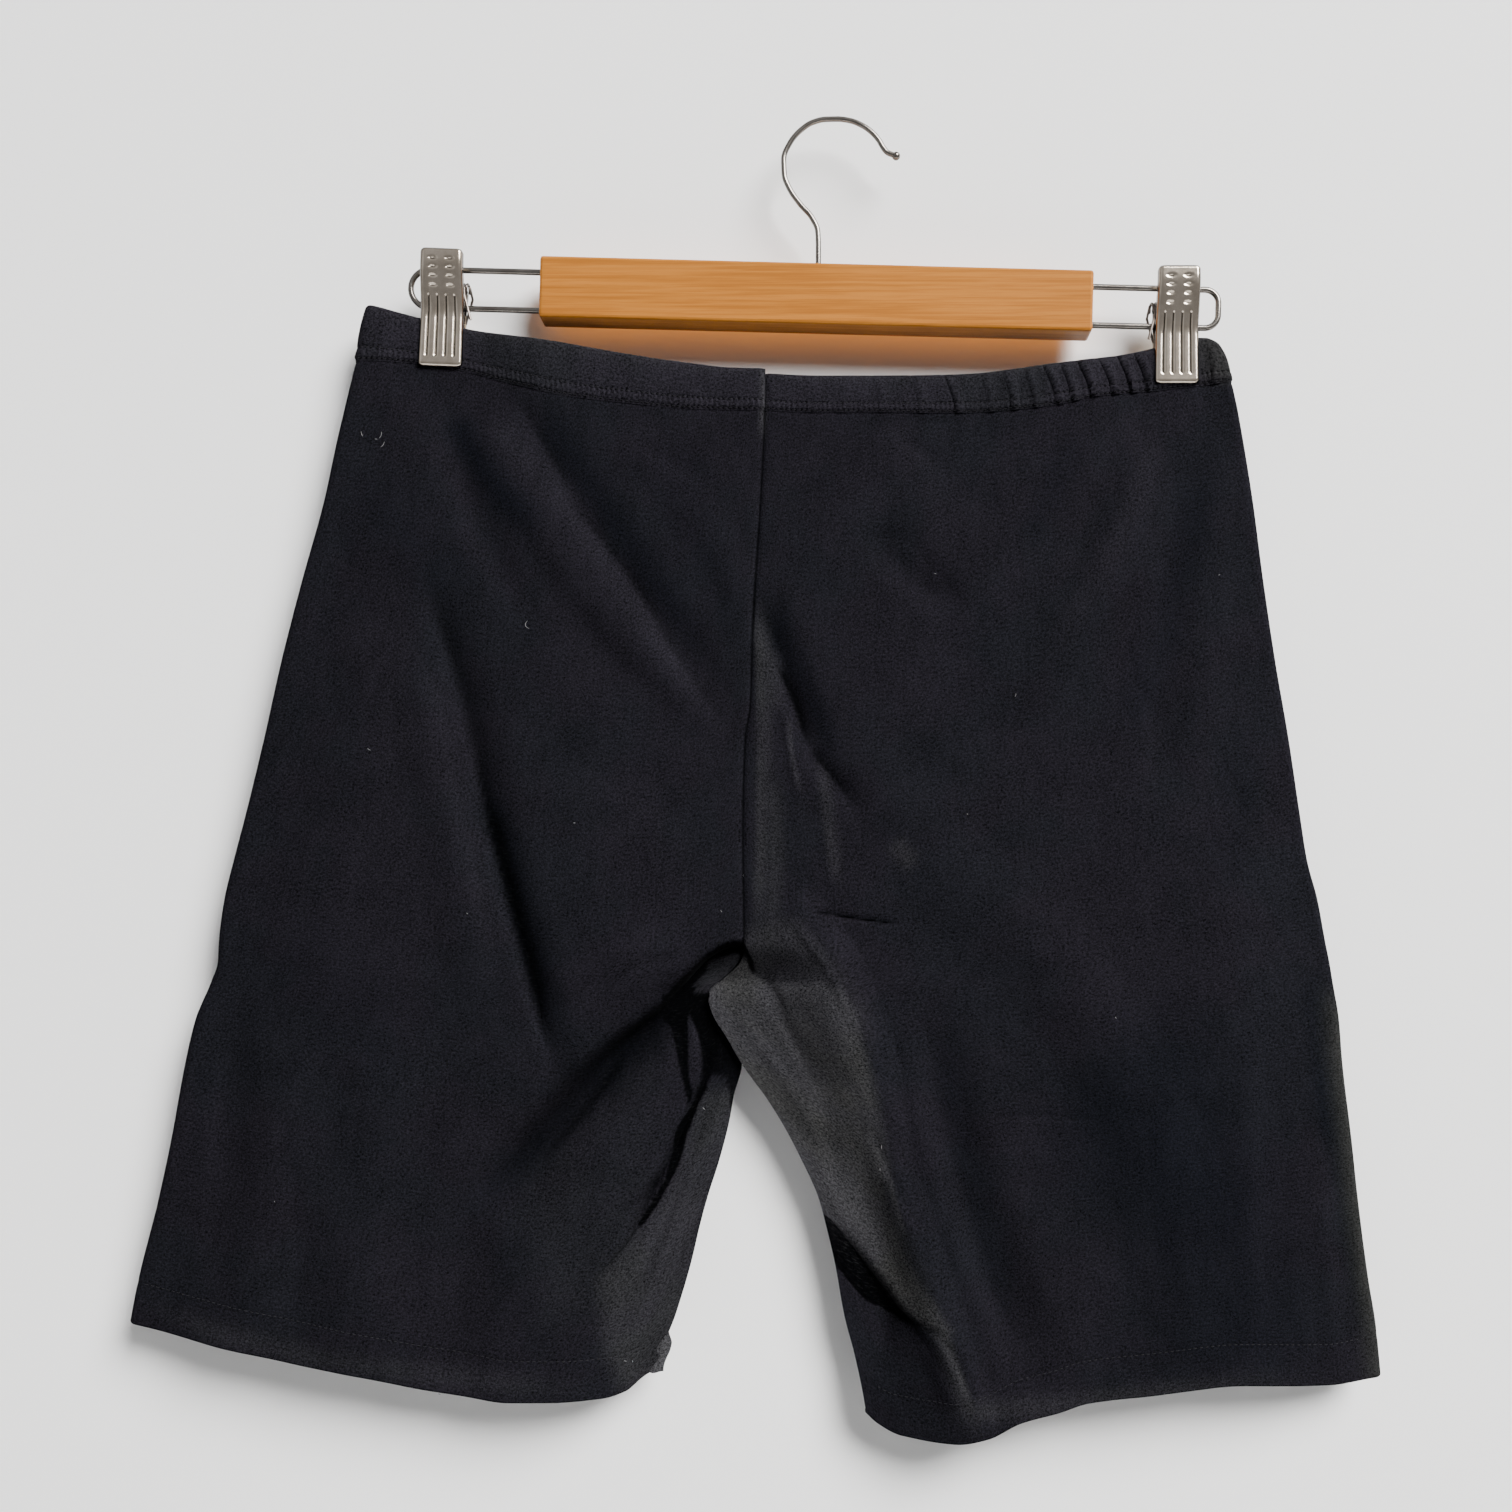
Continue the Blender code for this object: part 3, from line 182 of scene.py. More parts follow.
# Folds of each layer: start, bend and end (x, drop), width left and right, height, sharpness
# and, for those that hang over, how far. The first ones are the large folds of the solids.
folds = {
    "front": (
        (-180, 132, -168, 178, -140, 232, 14, 13, -2.8, 0.1),
        (-167, 134, -124, 208, -52, 284, 14, 16, 2.6, 0.0),
        (-143, 134, -98, 206, -44, 284, 13, 16, -2.0, 0.1),
        (-98, 150, -60, 190, -38, 236, 14, 16, 1.6, 0.0),
        (-186, 222, -168, 278, -158, 330, 8, 18, -3.6, 0.3),
        (-159, 324, -146, 372, -127, 442, 7, 18, -4.6, 0.35),
        (-196, 250, -178, 320, -164, 400, 20, 12, 2.4, 0.0),
        (-66, 404, -112, 450, -168, 514, 13, 30, -4.6, 0.15),
        (-74, 384, -126, 424, -188, 476, 24, 20, 4.0, 0.0),
        (-92, 470, -120, 512, -140, 566, 24, 20, 2.2, 0.0),
        (-198, 430, -214, 500, -222, 580, 26, 28, 3.0, 0.0),
        (-164, 520, -170, 556, -176, 600, 20, 22, -2.4, 0.0),
        (-286, 410, -280, 470, -288, 560, 14, 20, -1.8, 0.0),
        (146, 136, 132, 205, 94, 274, 16, 15, 3.0, 0.0),
        (166, 134, 160, 230, 150, 330, 15, 22, -3.2, 0.0),
        (-34, 222, -18, 264, -6, 300, 10, 14, -3.8, 0.4),
        (-8, 296, 2, 310, 16, 326, 9, 12, -2.4, 0.4),
        (18, 196, 38, 214, 60, 232, 14, 14, -2.4, 0.2),
        (8, 300, 62, 356, 128, 420, 30, 30, 2.4, 0.0),
        (-16, 366, 16, 420, 28, 494, 34, 11, 5.6, 0.0, -2.0),
        (28, 486, 46, 540, 72, 614, 18, 12, 4.6, 0.0, -1.5),
        (46, 420, 62, 500, 96, 592, 14, 24, -4.0, 0.0),
        (110, 404, 150, 486, 170, 592, 30, 30, 3.2, 0.0),
        (206, 430, 206, 500, 206, 590, 16, 18, -2.6, 0.0),
        (234, 420, 232, 500, 236, 588, 12, 12, 2.2, 0.0),
        # smaller creases
        (-186, 222, -169, 280, -157, 336, 5.0, 8.0, -0.6, 0.4),
        (-163, 304, -149, 362, -128, 439, 4.0, 8.0, -1.1, 0.55),
        (-146, 133, -137, 145, -120, 176, 4.0, 6.0, -1.2, 0.8),
        (-122, 180, -100, 205, -76, 242, 4.0, 7.0, -1.2, 0.8),
        (-80, 238, -64, 262, -46, 288, 4.0, 6.0, -0.9, 0.8),
        (-88, 154, -72, 163, -56, 168, 6.0, 6.0, -0.9, 0.6),
        (-60, 142, -48, 156, -40, 176, 5.0, 6.0, 0.5, 0.2),
        (-222, 119, -216, 131, -207, 146, 4.0, 5.0, -1.1, 1.0),
        (-234, 174, -229, 194, -222, 214, 4.0, 5.0, -1.0, 0.8),
        (-24, 258, -17, 272, -10, 294, 3.0, 5.5, -1.3, 0.8),
        (-20, 278, -18, 300, -13, 318, 2.6, 2.6, 0.7, 0.2),
        (-8, 297, 0, 306, 10, 319, 3.0, 4.5, -1.0, 0.8),
        (-8, 370.5, 12, 374.5, 34, 377, 2.4, 3.0, -1.6, 1.0),
        (16, 146, 38, 143.5, 59, 142, 4.0, 6.0, -0.8, 0.6),
        (34, 150, 42, 156, 54, 165, 5.0, 6.0, -1.0, 0.4),
        (-20, 179, -12, 176, -5, 172, 4.0, 4.0, -0.9, 0.6),
        (15, 199, 34, 197, 46, 210, 4.0, 7.0, -0.8, 0.6),
        (44, 206, 54, 217, 62, 232, 3.5, 6.0, -0.7, 0.6),
        (94, 318, 115, 316, 138, 318, 3.0, 4.0, -0.5, 0.6),
        (70, 468, 98, 466, 128, 469, 3.0, 4.0, -0.5, 0.6),
        (206, 322, 216, 336, 226, 350, 4.0, 6.0, -1.2, 0.7),
        (-34, 398, -22, 420, -8, 448, 5.0, 6.0, -0.9, 0.4),
        (-44, 420, -28, 440, -6, 474, 5.0, 6.0, 0.7, 0.2),
        (-70, 392, -88, 396, -108, 410, 4.0, 6.0, -0.9, 0.6),
        (-67, 419, -63, 434, -62, 452, 2.2, 2.4, 1.6, 0.1),
        (-58, 452, -74, 486, -92, 521, 7.0, 2.4, -3.0, 0.6),
        (-84, 511, -95, 526, -111, 543, 2.6, 2.4, -1.2, 0.9),
        (-80, 494, -89, 504, -101, 513, 4.0, 5.0, -0.9, 0.4),
        (35, 558, 44, 562, 54, 565, 4.0, 4.0, -1.6, 0.6),
        (53, 566, 60, 578, 66, 594, 4.0, 3.0, -1.4, 0.6),
        (4, 551, 12, 553, 20, 554, 2.2, 2.6, -1.0, 0.8),
        (-47, 446, -60, 490, -88, 558, 7.0, 9.0, 3.6, 0.0),
        (-40, 388, -36, 394, -34, 402, 2.0, 2.4, -1.8, 0.8),
        (-29, 402, -24, 410, -20, 420, 2.4, 3.0, -1.0, 0.8),
        (-16, 376, 0, 396, 14, 424, 3.0, 5.0, 0.9, 0.2),
        (-96, 440, -112, 462, -134, 488, 5.0, 5.0, -1.0, 0.6),
        (-150, 470, -166, 496, -186, 520, 6.0, 7.0, -0.8, 0.5),
        (-118, 560, -100, 548, -86, 536, 5.0, 6.0, 0.7, 0.2),
        (-252, 468, -246, 520, -250, 560, 9.0, 9.0, -0.8, 0.3),
        (20, 470, 34, 500, 46, 520, 4.0, 5.0, -0.9, 0.6),
        (34, 556, 52, 580, 66, 604, 5.0, 6.0, -1.0, 0.5),
        (150, 440, 148, 500, 160, 560, 12.0, 12.0, -0.8, 0.2),
    ),
    "back": (
        (-176, 143, -120, 220, -60, 300, 18, 20, 3.4, 0.0),
        (-150, 143, -96, 200, -30, 262, 15, 15, -2.8, 0.3),
        (150, 146, 108, 220, 50, 300, 18, 20, 3.4, 0.0),
        (120, 148, 74, 210, 20, 268, 15, 15, -2.6, 0.3),
        (-48, 402, -120, 448, -206, 500, 28, 32, -5.6, 0.2),
        (-54, 402, 34, 446, 130, 494, 32, 28, -5.2, 0.2),
        (-200, 430, -212, 510, -226, 584, 28, 28, 3.2, 0.0),
        (-130, 470, -138, 530, -146, 590, 26, 26, 3.0, 0.0),
        (90, 440, 104, 520, 112, 594, 26, 26, 3.2, 0.0),
        (170, 430, 186, 510, 196, 586, 28, 28, 3.0, 0.0),
        (-244, 300, -226, 360, -214, 430, 24, 24, -2.6, 0.0),
        (186, 290, 178, 350, 170, 430, 24, 24, -2.6, 0.0),
        # smaller creases
        (-168, 150, -140, 186, -104, 222, 4.0, 6.0, -1.3, 0.9),
        (140, 152, 118, 190, 86, 226, 4.0, 6.0, -1.3, 0.9),
        (-60, 300, -52, 340, -50, 380, 5.0, 6.0, -1.2, 0.8),
        (-24, 310, -30, 350, -38, 388, 5.0, 6.0, -1.1, 0.8),
        (-70, 408, -108, 430, -150, 462, 4.0, 6.0, -1.4, 0.9),
        (-40, 410, -6, 424, 38, 452, 4.0, 6.0, -1.3, 0.9),
        (-98, 150, -92, 172, -78, 190, 5.0, 6.0, -0.9, 0.6),
        (40, 152, 34, 170, 24, 188, 5.0, 6.0, -0.9, 0.6),
        (-236, 380, -214, 402, -186, 414, 5.0, 6.0, -0.9, 0.7),
        (200, 360, 178, 386, 150, 398, 5.0, 6.0, -0.9, 0.7),
        (-160, 520, -168, 552, -170, 586, 9.0, 9.0, -0.9, 0.3),
        (140, 470, 146, 520, 150, 580, 10.0, 10.0, -0.9, 0.3),
    ),
}
# The forms below are on the front only, by panel.
# Tucks: start, bend, end, width of the step, height, overlap.
tucks = {"right": (((-10, 503), (15, 531.5), (42, 563), 3.2, 6.5, 3.0),)}
# Lips, where the cloth above a line hangs over the cloth below it: the line's points as
# x, drop, depth of the step and its width.
lips = {
    "left": ((
        (-36, 384, 0.0, 2.0), (-41, 385.5, 4.0, 2.2), (-49, 386.8, 8.0, 2.6),
        (-57, 390, 10.0, 2.8), (-64, 396.5, 10.5, 3.0), (-70, 404, 10.0, 3.4),
        (-77, 412, 9.0, 4.0), (-89, 421, 7.5, 5.0), (-104, 431.5, 6.0, 7.0),
        (-126, 450, 4.5, 10.0), (-148, 475, 3.0, 13.0), (-168, 503, 0.0, 16.0)),),
}
# how far a lip hangs over, its fades along and above, its edge and how slowly it fades below
lipPlan = {"over": 1.6, "end": 0.02, "above": 0.35, "edge": 0.9, "below": 26.0}
# Hollows in the deepest shade of the folds, with a painted shadow in each: depth, softness of
# the edge, darkness of the painted shadow, then the outline as x, drop.
hollows = {
    "left": (
        (3.0, 1.5, 0.9, (
            (-36.5, 383.6), (-40, 384.8), (-45.1, 384.6), (-51.4, 386.6), (-55.9, 389.2),
            (-60.5, 393.4), (-65.6, 398.4), (-71.8, 404.4), (-77, 411), (-77, 414),
            (-66, 413), (-63.6, 409), (-66, 406.5), (-62, 402.4), (-58.6, 399.4),
            (-58.4, 394), (-54.8, 392.3), (-49.1, 391.2), (-43.4, 390.2), (-39, 391),
            (-36.5, 392))),
        (1.5, 1.1, 0.85, (
            (-78, 410), (-66.1, 411.5), (-66.6, 418), (-67.2, 424), (-66.4, 432),
            (-66.0, 440), (-65.8, 448), (-64.4, 455), (-65.4, 461.5), (-67.8, 451),
            (-70.7, 436), (-73.2, 426), (-77, 421))),
        (2.5, 1.1, 0.62, (
            (-67, 411.5), (-57, 410.5), (-54, 415.7), (-51.5, 423.7), (-48.6, 430.5),
            (-45, 436.2), (-40, 443.5), (-41, 454.3), (-43, 466), (-46.6, 463.5),
            (-46.8, 456.6), (-49.7, 449.6), (-54.8, 447.9), (-57.0, 451.5), (-60.8, 459.0),
            (-62.6, 457.5), (-60.2, 450), (-59.6, 443), (-60.4, 433.9), (-62.6, 424.8),
            (-66.0, 418))),
        (2.0, 1.8, 0.8, (
            (-67, 410.5), (-57, 409.5), (-54, 415.7), (-52.5, 424), (-52, 436), (-54, 444),
            (-57, 448), (-59.2, 443), (-60.0, 433.9), (-62.2, 424.8), (-65.6, 418))),
        (1.6, 0.6, 0.9, (
            (-58.6, 452.5), (-61.8, 457), (-64.2, 462.2), (-67.4, 466.8), (-69.9, 470.2),
            (-71.6, 475.8), (-72.7, 482.6), (-74.4, 489.4), (-77.3, 497.4), (-82.2, 506.5),
            (-88.6, 516.5), (-87.0, 517.5), (-80.0, 508), (-74.8, 498.5), (-70.1, 489.4),
            (-67.8, 481.5), (-66.6, 475.8), (-63.6, 467.9), (-61.2, 461), (-57.2, 454))),
    ),
    "right": (
        (1.0, 0.6, 0.9, (
            (-41, 385), (-38.2, 387.5), (-36, 393), (-35.4, 400), (-36.6, 399.5),
            (-38.2, 394), (-41, 391))),
        (1.2, 0.6, 1.0, (
            (-6, 509.8), (1, 516), (7.8, 523.5), (16.8, 534.3), (27.1, 546.8), (34, 554.2),
            (37.2, 559.4), (36.1, 562.2), (29.3, 559.2), (16.8, 552.9), (7.8, 542.7),
            (2.7, 536), (-1.6, 518))),
    ),
}
# Slow unevenness of hung cloth: wave length across, wave length down, turn, height.
ripples = (
    (97, 143, 0.4, 0.34), (61, 118, 2.1, 0.26), (38, 74, 4.0, 0.13), (143, 52, 1.3, 0.20),
    (23, 47, 5.2, 0.06), (31, 19, 0.9, 0.05),
)
rippleTurn = {"front": 0.0, "back": 2.6}
# Gathers of the right band: x at the top, x at the seam, half width, height, sharpness.
gathers = (
    (20, 23, 4.6, 0.7, 0.3), (38, 41, 4.4, 0.8, 0.4), (53, 59, 4.4, 1.1, 0.7),
    (70, 74, 4.2, 0.9, 0.4), (80, 85, 4.0, 1.1, 0.5), (90, 95, 4.0, 1.1, 0.5),
    (99, 106, 4.0, 1.3, 0.7), (107, 113, 3.8, 1.3, 0.6), (115, 122, 4.0, 1.7, 0.8),
    (125, 132, 4.0, 1.6, 0.7), (134, 141, 4.0, 1.8, 0.9), (142, 149, 3.8, 1.5, 0.7),
    (176, 179, 4.0, 1.1, 0.4), (-9, -10, 6.0, 0.35, 0.2), (5, 4, 5.5, 0.4, 0.2),
)


class Half:
    # one half of the garment: its outlines and where its cloth lies

    def __init__(self, name):
        self.name = name
        self.column = 1 if name == "left" else 2
        self.outward = -1 if name == "left" else 1
        self.band = bandEdges[name]
        self.hem = hemEdges[name]

    def outer(self, drop):
        return through(shorts["sideOutline"], self.column, drop)

    def inner(self, drop, layer):
        edge = through(shorts["innerOutline"], self.column, drop)
        if layer == "back":
            backSeam = shorts["backSeam"]
            edge = np.where(drop < backSeam[-1][0], through(backSeam, 1, drop), edge)
        turning = closedAt(drop, layer)
        clear = shorts["seamClear"] * (1 + 12 * turning * (1 - turning) + turning)
        fading = shorts["legCrossing"][2]
        crossing = (ease((drop - shorts["overlapFrom"]) / shorts["overlapIn"])
                    * (1 - ease((drop - fading) / shorts["overlapOut"])))
        return edge + self.outward * (clear - (clear + shorts["legOverlap"]) * crossing)

    def xAt(self, share, drop, layer):
        return self.inner(drop, layer) * (1 - share) + self.outer(drop) * share

    def bandEdge(self, share, column):
        usual = shorts["topRow"] if column == 1 else shorts["seamRow"]
        return through(self.band, column, self.xAt(share, usual, "front"))

    def hemEdge(self, share):
        return through(self.hem, 1, share)

    def rowDrop(self, share, down):
        # drop of a row of the panel, 0 at the band seam and 1 at the hem edge
        top = self.bandEdge(share, 2)
        innerTop = self.bandEdge(0.0, 2)
        fork = (shorts["fork"] - innerTop) / (self.hemEdge(0.0) - innerTop)
        innerDown = np.interp(down, (0, shorts["forkRow"], 1), (0, fork, 1))
        nearInner = (1 - share) ** 2
        return top + (self.hemEdge(share) - top) * (
            innerDown * nearInner + down * (1 - nearInner))


def closedAt(drop, layer):
    start, end = shorts["frontTurn"] if layer == "front" else shorts["backTurn"]
    return ease((drop - start) / (end - start))


def legOffsetAt(drop):
    start, full, fading, end = shorts["legCrossing"]
    return (shorts["legOffset"] * ease((drop - start) / (full - start))
            * (1 - ease((drop - fading) / (end - fading))))


def pinch(x, drop):
    held = np.zeros(np.broadcast(x, drop).shape)
    for clip in clips.values():
        sideways = ease(1 - (np.abs(x - clip["x"]) - clipHold["flat"]) / clipHold["spread"])
        down = ease(1 - (drop - clip["jawDrop"]) / clipHold["reach"])
        held = np.maximum(held, sideways * down)
    return held


def foldShape(q, sharp):
    # 1 on the fold's line and 0 at its edge, round or with a crisp line
    q = np.clip(q, 0, 1)
    return (0.5 + 0.5 * np.cos(math.pi * q)) * (1 - sharp) + (1 - q) ** 2.2 * sharp


def lipStep(points, x, drop):
    # how far the cloth sinks below a lip's line, how close the lip's edge is, and its way
    table = np.array(points, float)
    run = np.concatenate([[0], np.cumsum(np.linalg.norm(np.diff(table[:, :2], axis=0),
                                                        axis=1))])
    at = np.linspace(0, run[-1], 60)
    smooth = [through(list(zip(run, table[:, k])), 1, at) for k in range(4)]
    line = np.stack(smooth[:2], -1)
    across, along, wayX, wayDrop = alongLine(line, x, drop)
    place = np.clip(along, 0, 1) * (len(at) - 1)
    depth, width = (np.interp(place, np.arange(len(at)), smooth[k]) for k in (2, 3))
    past = across / width    # the line runs right to left, so its low side is its right
    end = lipPlan["end"]
    reach = ease((along + end) / end) * ease((1 + end - along) / end)
    below = ease(past + lipPlan["above"]) * reach * np.exp(
        -np.maximum(past - 1, 0) * width / lipPlan["below"])
    edge = np.exp(-(past / lipPlan["edge"]) ** 2) * reach * depth / 10
    return depth * below, edge, wayX, wayDrop


def insideOf(outline, x, drop):
    # how far inside a closed outline each place lies, less than 0 outside it
    corners = np.array(outline, float)
    inside = np.zeros(x.shape, bool)
    nearest = np.full(x.shape, 1e9)
    for (ax, ad), (bx, bd) in zip(corners, np.roll(corners, -1, 0)):
        runX, runDrop = bx - ax, bd - ad
        share = np.clip(((x - ax) * runX + (drop - ad) * runDrop)
                        / (runX ** 2 + runDrop ** 2), 0, 1)
        gap = np.hypot(x - ax - share * runX, drop - ad - share * runDrop)
        nearest = np.minimum(nearest, gap)
        if runDrop != 0:
            crosses = ((ad > drop) != (bd > drop)) & (
                x < ax + (drop - ad) * runX / runDrop)
            inside ^= crosses
    return np.where(inside, nearest, -nearest)


def nearCurve(row, x, drop):
    # the places a row's curve can reach: how far aside in widths, share along, way of it
    line, widths = bendLine(np.reshape(row[:6], (3, 2))), row[6:8]
    low, high = line.min(0), line.max(0)
    reach = max(widths) + 0.4 * np.linalg.norm(high - low)
    near = ((x > low[0] - reach) & (x < high[0] + reach)
            & (drop > low[1] - reach) & (drop < high[1] + reach))
    across, along, wayX, wayDrop = alongLine(line, x[near], drop[near])
    aside = np.where(across < 0, -across / widths[0], across / widths[1])
    return near, aside, along, wayX, wayDrop


def foldCloth(half, layer, x, drop):
    # lift of the cloth, its push sideways and down, its painted crease shade and its painted
    # hollow shadow
    lift, pushX, pushDrop, paintedShade, dark = (np.zeros_like(x) for _ in range(5))
    (startFade, startLeft), (endFade, endLeft) = foldFade["start"], foldFade["end"]
    for row in folds[layer]:
        height, sharp, lean = (row[8:] + (0.0,))[:3]
        near, aside, along, wayX, wayDrop = nearCurve(row, x, drop)
        shape = foldShape(aside, sharp)
        shape = shape * ease(along / startFade + startLeft) * ease(
            (1 - along) / endFade + endLeft)
        lift[near] += height * shape
        pushX[near] += lean * wayDrop * shape
        pushDrop[near] -= lean * wayX * shape
        # painted shade along the bottom of each trough, darker for a sharp one
        shade = foldShade["round"] + foldShade["sharp"] * sharp
        paintedShade[near] -= height * shape * shade / max(1.0, foldShade["wide"] * row[6])
    if layer == "front":
        for *points, width, height, overlap in tucks.get(half.name, ()):
            across, along, wayX, wayDrop = alongLine(bendLine(points), x, drop)
            nearLine = np.exp(-(across / (1.2 * width)) ** 2)
            fade = ease(along / 0.25) * ease((1.12 - along) / 0.3)
            lift += height * fade * (ease(across / width + 0.5) - 1)
            pushX -= overlap * wayDrop * nearLine * fade * np.where(lift > 0, 1.0, 0.5)
            pushDrop += overlap * wayX * nearLine * fade * 0.5
            # painted shade along the tuck's step
            paintedShade += foldShade["tuck"] * nearLine * fade
        for points in lips.get(half.name, ()):
            sunk, atEdge, wayX, wayDrop = lipStep(points, x, drop)
            over = lipPlan["over"] * atEdge
            lift -= sunk
            pushX += over * wayDrop
            pushDrop -= over * wayX
            # painted shade under the lip's edge and on the sunk cloth below it
            paintedShade += foldShade["lip"] * atEdge + foldShade["sunk"] * sunk
        # each hollow sinks the cloth and gets a painted shadow
        for depth, soft, shade, outline in hollows[half.name]:
            inside = insideOf(outline, x, drop)
            lift -= depth * ease(inside / (2 * soft))
            dark = np.maximum(dark, shade * ease((inside + soft) / (1.6 * soft)))
    turn = rippleTurn[layer]
    for waveX, waveDrop, start, height in ripples:
        lift += height * np.sin(math.tau * x / waveX + start + turn) * np.sin(
            math.tau * drop / waveDrop + 1.7 * start - turn + 0.013 * x)
    return lift, pushX, pushDrop, paintedShade, dark


# the left band's slow waves, and the shift of the right band's gathers on the back
bandWave = {"height": 0.16, "lengths": (5.3, 17.0), "from": 0.35}
gatherPlan = {"back": -5.0, "sway": 1.2, "aside": 1.4, "groove": 0.7, "shade": 0.55}


def gatherBand(half, layer, x, downBand):
    lift, dark = np.zeros_like(x), np.zeros_like(x)
    if half.name != "right":
        short, long = bandWave["lengths"]
        lift += bandWave["height"] * np.sin(x / short) * np.sin(x / long) * ease(
            downBand / bandWave["from"])
        return lift, dark
    plan = gatherPlan
    shift = 0.0 if layer == "front" else plan["back"]
    for xTop, xSeam, halfWidth, height, sharp in gathers:
        centre = (xTop + (xSeam - xTop) * downBand + shift
                  + plan["sway"] * np.sin(3 * downBand))
        shape = foldShape(np.abs(x - centre - plan["aside"]) / halfWidth, sharp) * ease(
            downBand / 0.3)
        line = np.exp(-((x - centre) / 1.0) ** 2) * ease(downBand / 0.12 + 0.3) * sharp
        lift += height * (shape - plan["groove"] * line)
        # painted shade along the gather's groove
        dark += plan["shade"] * height * line
    return lift, dark


def clothPoints(half, layer, share, drop, downBand=None):
    # middle of the cloth's wall: x, y and z of each place, and its painted shade
    x = half.xAt(share, drop, layer)
    fromSide = np.abs(half.outer(drop) - x)
    fromInner = np.abs(x - half.inner(drop, layer))
    held = pinch(x, drop)
    openHalf = through(shorts["standOff"], 1 if layer == "front" else 2, drop)
    halfGap = shorts["clippedLayer"] + (openHalf - shorts["clippedLayer"]) * (1 - held)
    nose = np.minimum(shorts["sideRound"], halfGap)
    rounded = nose * quarterRound(fromSide / nose)
    halfOpen = rounded + (halfGap - nose) * ease(fromSide / shorts["sideSwell"])
    swell = ease(fromInner / through(shorts["inseamSwell"], half.column, drop))
    fromHem = half.hemEdge(share) - drop
    closedLayer = shorts["closedLayer"] + (shorts["hemLayer"] - shorts["closedLayer"]) * (
        ease((shorts["hemFrom"] - fromHem) / shorts["hemOver"]))
    halfClosed = np.minimum(halfOpen, closedLayer + (halfGap - closedLayer) * swell)
    closed = closedAt(drop, layer)
    stand = halfOpen * (1 - closed) + halfClosed * closed
    lift, pushX, pushDrop, paintedShade, dark = foldCloth(half, layer, x, drop)
    free = (1 - held) * ease(fromSide / shorts["sideCalm"])
    free = free * (1 - closed * (1 - ease(fromInner / shorts["seamCalm"])))
    stand = np.maximum(stand + lift * free, np.minimum(stand, closedLayer))
    if downBand is not None:
        besideJaw = np.ones_like(x)
        fromJaw, fadeOver = clipHold["beside"]
        for clip in clips.values():
            besideJaw = besideJaw * ease((np.abs(x - clip["x"]) - fromJaw) / fadeOver)
        gathered, shade = gatherBand(half, layer, x, downBand)
        stand = stand + gathered * besideJaw * ease(fromSide / 6)
        dark = dark + shade * besideJaw
    # painted shade along the inner seam
    shade, width = shorts["seamShade"]
    seamLine = np.exp(-(fromInner / width) ** 2) * (1 - closed)
    paintedShade = paintedShade + shade * seamLine
    groove = shorts["seamDip"] * np.exp(-(fromInner / shorts["seamDipWidth"]) ** 2)
    stand = stand - groove * (1 - closed)
    holdX = free * ease(fromInner / shorts["seamCalm"])
    way = -1 if layer == "front" else 1
    aside = -half.outward * legOffsetAt(drop) * (1 - ease(fromInner / shorts["inseamReach"]))
    points = np.stack([x + pushX * holdX, way * stand + aside, -(drop + pushDrop * holdX)], -1)
    # painted shade, with the painted shadow of the hollows added
    return points, paintedShade * np.maximum(free, seamLine) + shorts["hollowShade"] * dark


def surfaceAt(half, layer, share, drop, downBand=None):
    # points on the cloth's middle with their outward normals
    step = 0.6
    shareStep = step / 200.0
    here, _ = clothPoints(half, layer, share, drop, downBand)
    side, _ = clothPoints(half, layer, share + shareStep, drop, downBand)
    below, _ = clothPoints(half, layer, share, drop + step, downBand)
    normal = np.cross(side - here, below - here)
    normal /= np.linalg.norm(normal, axis=-1, keepdims=True)
    facing = -1 if layer == "front" else 1
    flip = np.where(normal[..., 1:2] * facing < 0, -1, 1)
    return here, normal * flip


def shareOfX(half, layer, x, drop):
    inner, outer = half.inner(drop, layer), half.outer(drop)
    return (x - inner) / (outer - inner)


# Mesh helpers

def gridNormals(grid, outward):
    across = np.gradient(grid, axis=1)
    down = np.gradient(grid, axis=0)
    normal = np.cross(across, down) * -outward
    return normal / np.maximum(np.linalg.norm(normal, axis=2, keepdims=True), 1e-9)


def plainMesh(name, points, faces):
    mesh = bpy.data.meshes.new(name)
    mesh.from_pydata(points, [], faces)
    return mesh


def wallMesh(name, grid, outward, outerHalf, innerHalf, masks=None, uv=None):
    # closed wall round a grid of middle points
    rows, columns = grid.shape[:2]
    normal = gridNormals(grid, outward)
    outer = grid + normal * outerHalf[..., None]
    inner = grid - normal * innerHalf[..., None]
    points = np.concatenate([outer.reshape(-1, 3), inner.reshape(-1, 3)]) * mm
    shift = rows * columns
    index = np.arange(shift).reshape(rows, columns)
    lower = index + shift
    quads = [np.stack([index[:-1, :-1], index[:-1, 1:], index[1:, 1:], index[1:, :-1]],
                      -1).reshape(-1, 4),
             np.stack([lower[:-1, :-1], lower[1:, :-1], lower[1:, 1:], lower[:-1, 1:]],
                      -1).reshape(-1, 4)]
    border = np.concatenate([index[0, :], index[1:, -1], index[-1, -2::-1], index[-2:0:-1, 0]])
    after = np.roll(border, -1)
    quads.append(np.stack([border, border + shift, after + shift, after], -1))
    faces = np.concatenate(quads)
    mesh = plainMesh(name, points.tolist(), faces.tolist())
    for label, values in (masks or {}).items():
        layer = mesh.attributes.new(label, "FLOAT", "POINT")
        layer.data.foreach_set("value", np.tile(values.ravel(), 2).astype(np.float32))
    if uv is not None:
        places = np.tile(uv.reshape(-1, 2), (2, 1))
        corners = np.zeros(len(mesh.loops), np.int32)
        mesh.loops.foreach_get("vertex_index", corners)
        mesh.uv_layers.new(name="cloth").data.foreach_set(
            "uv", places[corners].astype(np.float32).ravel())
    return closeUp(mesh)


